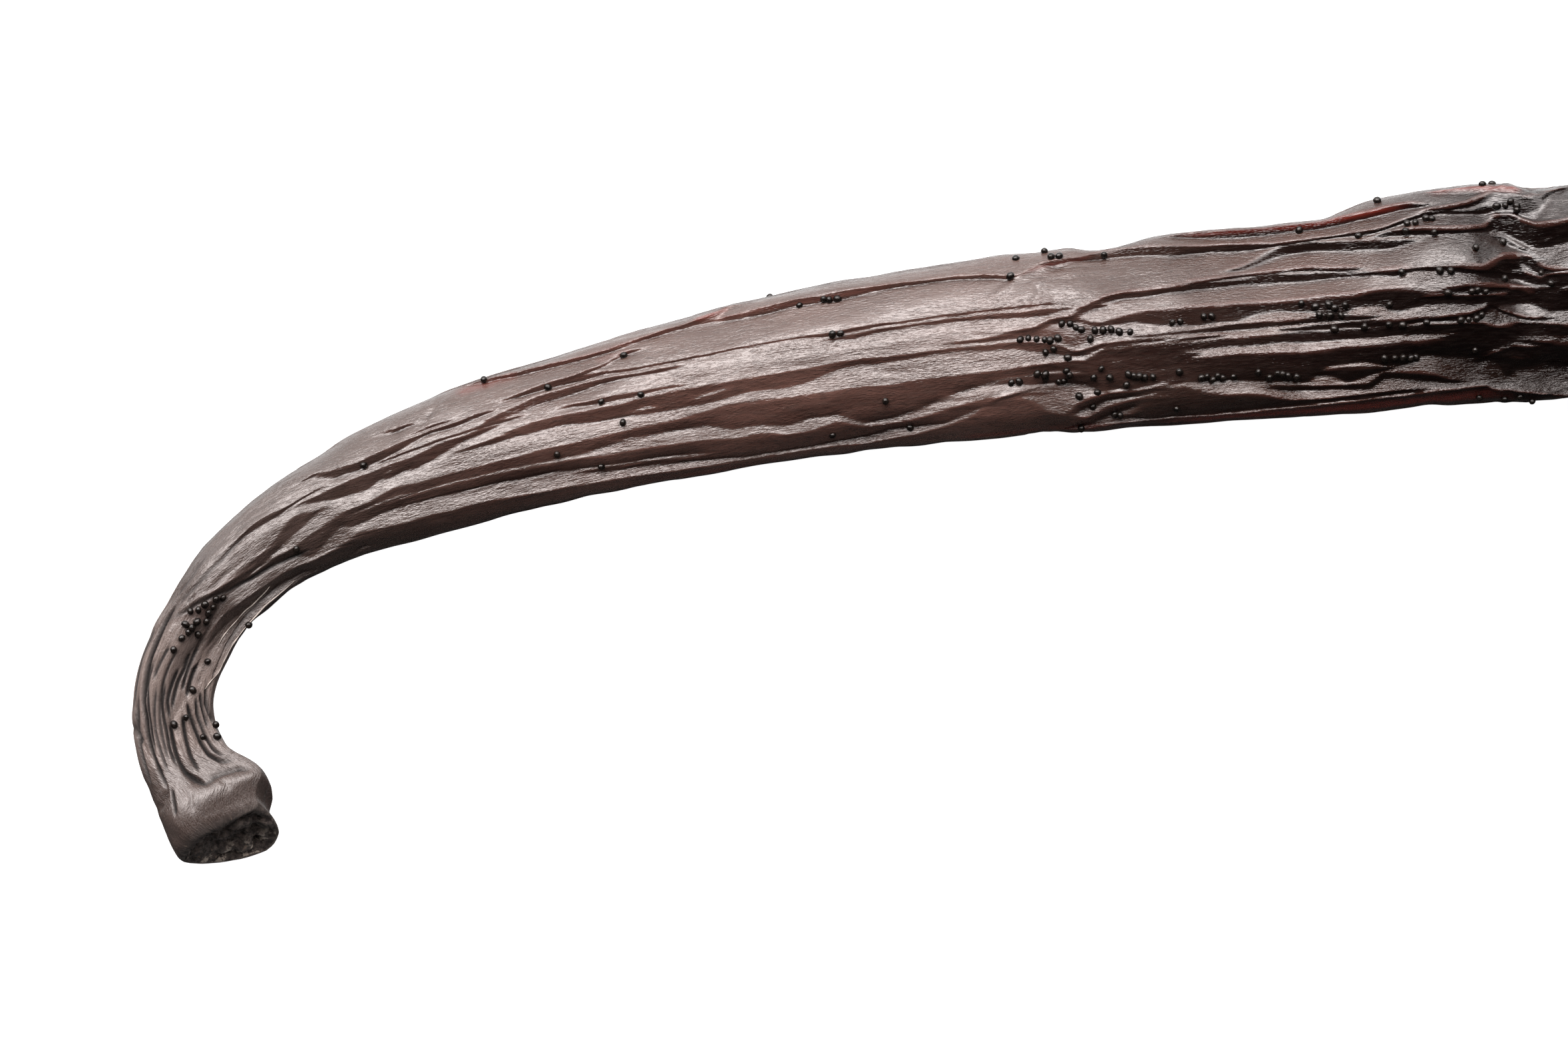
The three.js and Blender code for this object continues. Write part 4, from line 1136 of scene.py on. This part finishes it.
# ---- materials -----------------------------------------------------------------------------
class Nodes:
    def __init__(self, name):
        self.mat = bpy.data.materials.new(name)
        self.mat.use_nodes = True
        self.tree = self.mat.node_tree
        self.tree.nodes.clear()
        self.out = self.tree.nodes.new("ShaderNodeOutputMaterial")
        self.bsdf = self.tree.nodes.new("ShaderNodeBsdfPrincipled")
        self.link(self.bsdf.outputs[0], self.out.inputs[0])

    def link(self, a, b):
        self.tree.links.new(a, b)

    def put(self, socket, value):
        if hasattr(value, "is_output"):
            self.link(value, socket)
        else:
            socket.default_value = value

    def attr(self, name):
        n = self.tree.nodes.new("ShaderNodeAttribute")
        n.attribute_name = name
        return n

    def math(self, op, a, b=0.0, clamp=False):
        n = self.tree.nodes.new("ShaderNodeMath")
        n.operation, n.use_clamp = op, clamp
        self.put(n.inputs[0], a)
        self.put(n.inputs[1], b)
        return n.outputs[0]

    def ramp(self, x, lo, hi, out_lo=0.0, out_hi=1.0):
        n = self.tree.nodes.new("ShaderNodeMapRange")
        n.interpolation_type = "SMOOTHSTEP"
        self.put(n.inputs[0], x)
        for i, v in enumerate((lo, hi, out_lo, out_hi)):
            n.inputs[i + 1].default_value = v
        return n.outputs[0]

    def mix(self, f, a, b):
        n = self.tree.nodes.new("ShaderNodeMix")
        n.data_type = "RGBA"
        self.put(n.inputs[0], f)
        for s, v in ((n.inputs[6], a), (n.inputs[7], b)):
            self.put(s, v if hasattr(v, "is_output") else (*v, 1.0))
        return n.outputs[2]

    def vec_scale(self, v, scale):
        n = self.tree.nodes.new("ShaderNodeVectorMath")
        n.operation = "MULTIPLY"
        self.link(v, n.inputs[0])
        n.inputs[1].default_value = scale
        return n.outputs[0]

    def noise(self, v, scale=1.0, detail=2.0, rough=0.5, distortion=0.0):
        n = self.tree.nodes.new("ShaderNodeTexNoise")
        self.link(v, n.inputs["Vector"])
        n.inputs["Scale"].default_value = scale
        n.inputs["Detail"].default_value = detail
        n.inputs["Roughness"].default_value = rough
        n.inputs["Distortion"].default_value = distortion
        return n.outputs["Fac"] if "Fac" in n.outputs else n.outputs[0]

    def cells(self, v, wobble):
        """Domes of a rough brick pattern, 0 at their rims and 1 on top."""
        a = self.tree.nodes.new("ShaderNodeVectorMath")
        a.operation = "ADD"
        self.link(v, a.inputs[0])
        k = self.math("MULTIPLY", wobble, 1.3)
        self.link(k, a.inputs[1])
        n = self.tree.nodes.new("ShaderNodeTexVoronoi")
        n.feature = "SMOOTH_F1"
        n.inputs["Smoothness"].default_value = 0.25
        n.inputs["Scale"].default_value = 1.0
        n.inputs["Randomness"].default_value = 0.9
        self.link(a.outputs[0], n.inputs["Vector"])
        return self.ramp(n.outputs["Distance"], 0.05, 0.75, 1.0, 0.0)

    def bump(self, height, distance, strength=1.0, normal=None):
        n = self.tree.nodes.new("ShaderNodeBump")
        self.put(n.inputs["Strength"], strength)
        n.inputs["Distance"].default_value = distance
        self.link(height, n.inputs["Height"])
        if normal is not None:
            self.link(normal, n.inputs["Normal"])
        return n.outputs[0]


def skin_material():
    m = Nodes("vanilla_skin")
    grain = m.attr("grain").outputs["Vector"]
    s = m.attr("s_mm").outputs["Fac"]
    red_glow = m.attr("red_glow").outputs["Fac"]
    crack_shade = m.attr("crack_shade").outputs["Fac"]
    away = m.attr("away").outputs["Fac"]
    low = m.attr("hollow").outputs["Fac"]
    scar = m.attr("scar").outputs["Fac"]
    stem = m.ramp(s, 5.0, 26.0, 1.0, 0.0)             # 1 at the hook, 0 along the body

    long_grain = m.noise(m.vec_scale(grain, (1.6, 9.0, 1.0)), 1.0, 3.0, 0.6)
    cells = m.cells(m.vec_scale(grain, (4.4, 15.0, 1.0)), m.noise(m.vec_scale(grain, (3.0, 9.0, 1.0)), 1.0, 1.0, 0.5))
    specks = m.noise(m.vec_scale(grain, (5.2, 16.0, 1.0)), 1.0, 2.0, 0.6)
    dashes = m.ramp(m.noise(m.vec_scale(grain, (2.4, 13.0, 1.0)), 1.0, 2.0, 0.6), 0.52, 0.64)
    patch = m.ramp(m.noise(m.vec_scale(grain, (0.42, 1.15, 1.0)), 1.0, 2.0, 0.6), 0.38, 0.62)
    blotch = m.noise(m.vec_scale(grain, (0.22, 0.7, 1.0)), 1.0, 3.0, 0.55)

    dark = (0.0165, 0.0080, 0.0064)
    brown = (0.028, 0.0145, 0.0115)
    hazy = (0.043, 0.031, 0.0270)
    c = m.mix(m.ramp(blotch, 0.36, 0.66), dark, brown)
    c = m.mix(m.math("MULTIPLY", stem, 0.75), c, hazy)
    middle = m.math("MULTIPLY", m.ramp(s, 14.0, 26.0), m.ramp(s, 38.0, 46.0, 0.85, 0.0))
    c = m.mix(middle, c, m.mix(m.ramp(blotch, 0.36, 0.66), (0.048, 0.0240, 0.0193), (0.070, 0.0360, 0.0292)))
    oily = m.ramp(s, 38.0, 55.0)                      # darker and oilier towards the thick end
    c = m.mix(m.math("MULTIPLY", oily, 0.97), c, (0.0014, 0.0004, 0.0003))
    # painted light: faces turned to the light are painted warmer and lighter towards the thick end
    lit_warmth = m.math("MULTIPLY", m.ramp(s, 38.0, 50.0), m.ramp(s, 50.5, 57.0, 0.8, 0.12))
    c = m.mix(m.math("MULTIPLY", m.ramp(away, 0.1, 0.6, 1.0, 0.0), lit_warmth), c, (0.027, 0.0110, 0.0068))
    # painted light: faces turned to the light are painted paler nearer the stem
    c = m.mix(m.math("MULTIPLY", m.ramp(away, 0.1, 0.7, 0.62, 0.0), m.ramp(s, 36.0, 50.0, 1.0, 0.0)), c, (0.034, 0.0265, 0.0235))
    c = m.mix(m.math("MULTIPLY", m.ramp(long_grain, 0.40, 0.70, 0.0, 0.30), m.ramp(s, 40.0, 54.0, 1.0, 0.25)), c, hazy)
    fleck = m.noise(m.vec_scale(grain, (16.0, 22.0, 16.0)), 1.0, 2.0, 0.6)
    c = m.mix(m.math("MULTIPLY", m.ramp(fleck, 0.40, 0.62), m.ramp(s, 6.0, 20.0, 0.45, 0.0)), c, (0.016, 0.0110, 0.0095))
    # painted shade: the hollows of the skin are painted darker, and on the hook the shallow ones too
    groove_shade = m.math("ADD", m.ramp(low, -0.5, -3.0, 0.0, 0.65), m.math("MULTIPLY", stem, m.ramp(low, -0.3, -1.8, 0.0, 0.30)), clamp=True)
    c = m.mix(groove_shade, c, (0.006, 0.0034, 0.003))
    pale = m.math("MULTIPLY", m.ramp(s, 2.4, 3.8), m.ramp(s, 6.0, 9.0, 0.62, 0.0))
    c = m.mix(m.math("MULTIPLY", pale, m.ramp(low, -1.2, -0.2)), c, (0.125, 0.100, 0.090))
    # painted shade: the sunk lines are painted near black
    c = m.mix(m.math("MULTIPLY", crack_shade, 0.85), c, (0.004, 0.0026, 0.0022))
    c = m.mix(m.math("MULTIPLY", dashes, 0.28), c, (0.0035, 0.0016, 0.0013))
    # flanks and underside: one brown all along
    flank = m.attr("flank").outputs["Fac"]
    side = m.mix(m.ramp(blotch, 0.36, 0.66), (0.0115, 0.0062, 0.0050), (0.022, 0.0118, 0.0094))
    c = m.mix(m.math("MULTIPLY", flank, m.ramp(s, 8.0, 30.0, 0.25, 0.85)), c, side)
    # painted shade in the sunk lines again, over the flank colour
    c = m.mix(m.math("MULTIPLY", crack_shade, 0.85), c, (0.004, 0.0026, 0.0022))
    # painted light: crests standing above their surroundings are painted red-brown, a glow of light through the thin
    # skin
    thin = m.math("MULTIPLY", m.ramp(low, 0.8, 2.8, 0.0, 0.42), m.ramp(s, 16.0, 44.0, 0.30, 1.0))
    c = m.mix(thin, c, (0.046, 0.0175, 0.0135))
    # painted light: a red glow for light through the thin skin, broken by the grain and stronger on higher ground
    red_glow = m.math("MULTIPLY", red_glow, m.ramp(long_grain, 0.30, 0.55, 0.55, 1.0))
    red_glow = m.math("MULTIPLY", red_glow, m.ramp(m.attr("high").outputs["Fac"], 1.3, 2.6, 0.30, 1.0))
    c = m.mix(red_glow, c, (0.088, 0.0125, 0.0082))
    crumb = m.mix(m.ramp(m.noise(m.vec_scale(grain, (5.0, 5.0, 5.0)), 1.0, 4.0, 0.7), 0.38, 0.62),
                  (0.010, 0.0068, 0.0058), (0.056, 0.044, 0.038))
    high = m.attr("high").outputs["Fac"]
    # painted shade: the scar is painted darker towards its top, in the shadow under the lip
    crumb = m.mix(m.ramp(high, 1.9, 3.0, 0.0, 0.75), crumb, (0.007, 0.0045, 0.004))
    chip = m.ramp(m.noise(m.vec_scale(grain, (2.6, 2.6, 2.6)), 1.0, 3.0, 0.7), 0.50, 0.60)
    crumb = m.mix(m.math("MULTIPLY", chip, m.ramp(high, 1.1, 0.4, 0.0, 0.80)), crumb, (0.30, 0.26, 0.22))
    flake = m.ramp(m.noise(m.vec_scale(grain, (3.4, 3.4, 3.4)), 1.0, 2.0, 0.5), 0.66, 0.72, 0.0, 0.7)
    crumb = m.mix(flake, crumb, (0.125, 0.092, 0.070))
    c = m.mix(scar, c, crumb)
    m.link(c, m.bsdf.inputs["Base Color"])

    rough = m.math("ADD", m.ramp(blotch, 0.3, 0.7, 0.14, 0.20), m.math("MULTIPLY", m.ramp(s, 6.0, 18.0, 1.0, 0.0), 0.17))
    rough = m.math("ADD", rough, m.ramp(specks, 0.35, 0.65, -0.05, 0.06))
    rough = m.math("ADD", rough, m.math("MULTIPLY", m.ramp(fleck, 0.36, 0.64, 0.10, -0.08), m.ramp(s, 8.0, 24.0, 1.0, 0.35)))
    rough = m.math("ADD", rough, m.math("MULTIPLY", crack_shade, 0.50))
    rough = m.math("ADD", rough, m.math("MULTIPLY", dashes, 0.10))
    rough = m.math("ADD", rough, m.math("MULTIPLY", stem, m.ramp(low, -0.6, -2.4, 0.0, 0.22)))
    rough = m.math("ADD", rough, m.math("MULTIPLY", scar, 0.45), clamp=True)
    m.link(rough, m.bsdf.inputs["Roughness"])
    m.bsdf.inputs["IOR"].default_value = 1.47
    m.bsdf.inputs["Specular IOR Level"].default_value = 0.5

    b = m.bump(long_grain, 0.000014)
    b = m.bump(cells, 0.0000090, m.ramp(patch, 0.0, 1.0, 0.45, 1.0), b)
    facing = m.ramp(away, 0.15, 0.7, 1.0, 0.12)
    glint = m.math("MULTIPLY", m.ramp(patch, 0.0, 1.0, 0.35, 1.0), m.ramp(s, 37.0, 53.0, 0.34, 1.0))
    b = m.bump(specks, 0.0000440, m.math("MULTIPLY", facing, glint), b)
    b = m.bump(dashes, -0.0000050, m.math("MULTIPLY", facing, m.ramp(s, 6.0, 14.0, 0.4, 1.0)), b)
    b = m.bump(m.noise(m.vec_scale(grain, (15.0, 15.0, 15.0)), 1.0, 2.0, 0.6), 0.0000120, m.ramp(s, 8.0, 20.0, 1.0, 0.0), b)
    m.link(b, m.bsdf.inputs["Normal"])
    return m.mat


def seed_material():
    m = Nodes("vanilla_seed_black")
    tc = m.tree.nodes.new("ShaderNodeTexCoord").outputs["Object"]
    n = m.noise(tc, 9000.0, 2.0, 0.6)
    c = m.mix(m.ramp(n, 0.35, 0.68), (0.0022, 0.0018, 0.0016), (0.008, 0.006, 0.005))
    m.link(c, m.bsdf.inputs["Base Color"])
    m.link(m.ramp(n, 0.3, 0.7, 0.08, 0.20), m.bsdf.inputs["Roughness"])
    m.bsdf.inputs["IOR"].default_value = 1.31
    m.link(m.bump(m.noise(tc, 22000.0, 1.0, 0.5), 0.000004), m.bsdf.inputs["Normal"])
    return m.mat


def lit_ridge_material():
    m = Nodes("painted_lit_ridge")
    # painted light: the pale colour stands for light shining through the thin ridges
    tc = m.tree.nodes.new("ShaderNodeTexCoord").outputs["Object"]
    n = m.noise(tc, 1500.0, 2.0, 0.6)
    m.link(m.mix(m.ramp(n, 0.3, 0.7), (0.12, 0.105, 0.095), (0.27, 0.24, 0.215)), m.bsdf.inputs["Base Color"])
    m.link(m.ramp(n, 0.3, 0.7, 0.45, 0.65), m.bsdf.inputs["Roughness"])
    return m.mat


skin.data.materials.append(skin_material())
seeds.data.materials.append(seed_material())
lit_ridges.data.materials.append(lit_ridge_material())

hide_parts("pod")
for piece in (skin, seeds, lit_ridges):
    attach(piece, "root")

# ---- floor, light and camera ------------------------------------------------------------------
fm = bpy.data.meshes.new("floor")
fm.from_pydata([(-3, -3, -0.00002), (3, -3, -0.00002), (3, 3, -0.00002), (-3, 3, -0.00002)], [], [(0, 1, 2, 3)])
floor = bpy.data.objects.new("floor", fm)
bpy.context.scene.collection.objects.link(floor)
m = Nodes("floor_white")
m.bsdf.inputs["Base Color"].default_value = (0.25, 0.25, 0.25, 1)
m.bsdf.inputs["Roughness"].default_value = 1.0
m.bsdf.inputs["Specular IOR Level"].default_value = 0.0
m.bsdf.inputs["Emission Color"].default_value = (1, 1, 1, 1)
m.bsdf.inputs["Emission Strength"].default_value = 1.0      # a light table: it throws no shadow
fm.materials.append(m.mat)
floor.visible_glossy = False


def softbox(name, top, bottom, x, wide, radiance):
    """A soft panel whose upper and lower edges pass through two (y, z) points, in metres, facing the pod."""
    (y0, z0), (y1, z1) = top, bottom
    tall = math.hypot(y1 - y0, z1 - z0)
    li = bpy.data.lights.new(name, "AREA")
    li.shape, li.size, li.size_y = "RECTANGLE", wide, tall
    li.energy = radiance * math.pi * wide * tall
    li.color = (1.0, 0.932, 0.912)
    ob = bpy.data.objects.new(name, li)
    ob.location = (x, (y0 + y1) / 2, (z0 + z1) / 2)
    ny, nz = -(z0 - z1) / tall, -(y1 - y0) / tall      # towards the pod
    ob.rotation_euler = (math.atan2(ny, -nz), 0, 0)
    ob.visible_camera = False
    bpy.context.scene.collection.objects.link(ob)
    return ob


softbox("softbox", (0.13, 0.88), (1.02, 0.10), -0.30, 1.8, 6.0)
softbox("softbox_middle", (0.40, 0.64), (0.64, 0.44), -0.38, 1.02, 13.8)

world = bpy.data.worlds.new("studio")
bpy.context.scene.world = world
world.use_nodes = True
wt = world.node_tree
wt.nodes.clear()
out = wt.nodes.new("ShaderNodeOutputWorld")
seen, room, pick = wt.nodes.new("ShaderNodeBackground"), wt.nodes.new("ShaderNodeBackground"), wt.nodes.new("ShaderNodeMixShader")
path = wt.nodes.new("ShaderNodeLightPath")
seen.inputs[0].default_value, seen.inputs[1].default_value = (1, 1, 1, 1), 1.0
# the room: pale on the softbox's side below the panel, dark on the other side
where = wt.nodes.new("ShaderNodeTexCoord")
split = wt.nodes.new("ShaderNodeSeparateXYZ")
wt.links.new(where.outputs["Generated"], split.inputs[0])


def world_range(x, lo, hi, out_lo, out_hi):
    n = wt.nodes.new("ShaderNodeMapRange")
    n.interpolation_type = "SMOOTHSTEP"
    wt.links.new(x, n.inputs[0])
    for i, v in enumerate((lo, hi, out_lo, out_hi)):
        n.inputs[i + 1].default_value = v
    return n.outputs[0]


both = wt.nodes.new("ShaderNodeMath")
both.operation = "MULTIPLY"
wt.links.new(world_range(split.outputs[1], 0.05, 0.50, 0.0, 1.0), both.inputs[0])
wt.links.new(world_range(split.outputs[2], -0.05, 0.22, 1.0, 0.0), both.inputs[1])
wt.links.new(world_range(both.outputs[0], 0.0, 1.0, 0.04, 2.4), room.inputs[1])
wt.links.new(path.outputs["Is Camera Ray"], pick.inputs[0])
wt.links.new(room.outputs[0], pick.inputs[1])
wt.links.new(seen.outputs[0], pick.inputs[2])
wt.links.new(pick.outputs[0], out.inputs[0])

cam_data = bpy.data.cameras.new("camera")
cam_data.type = "PERSP"
cam_data.sensor_fit = "HORIZONTAL"
cam_data.sensor_width = 36.0
cam_data.lens = 160.0
cam_data.clip_start, cam_data.clip_end = 0.01, 20.0
cam = bpy.data.objects.new("camera", cam_data)
cam.location = (CAMERA_AT[0] * 0.001, CAMERA_AT[1] * 0.001, (CAMERA_HIGH + LEVEL) * 0.001)
cam.rotation_euler = (0, 0, 0)
bpy.context.scene.collection.objects.link(cam)
bpy.context.scene.camera = cam
bpy.context.scene.view_settings.view_transform = "Standard"
bpy.context.scene.view_settings.look = "None"
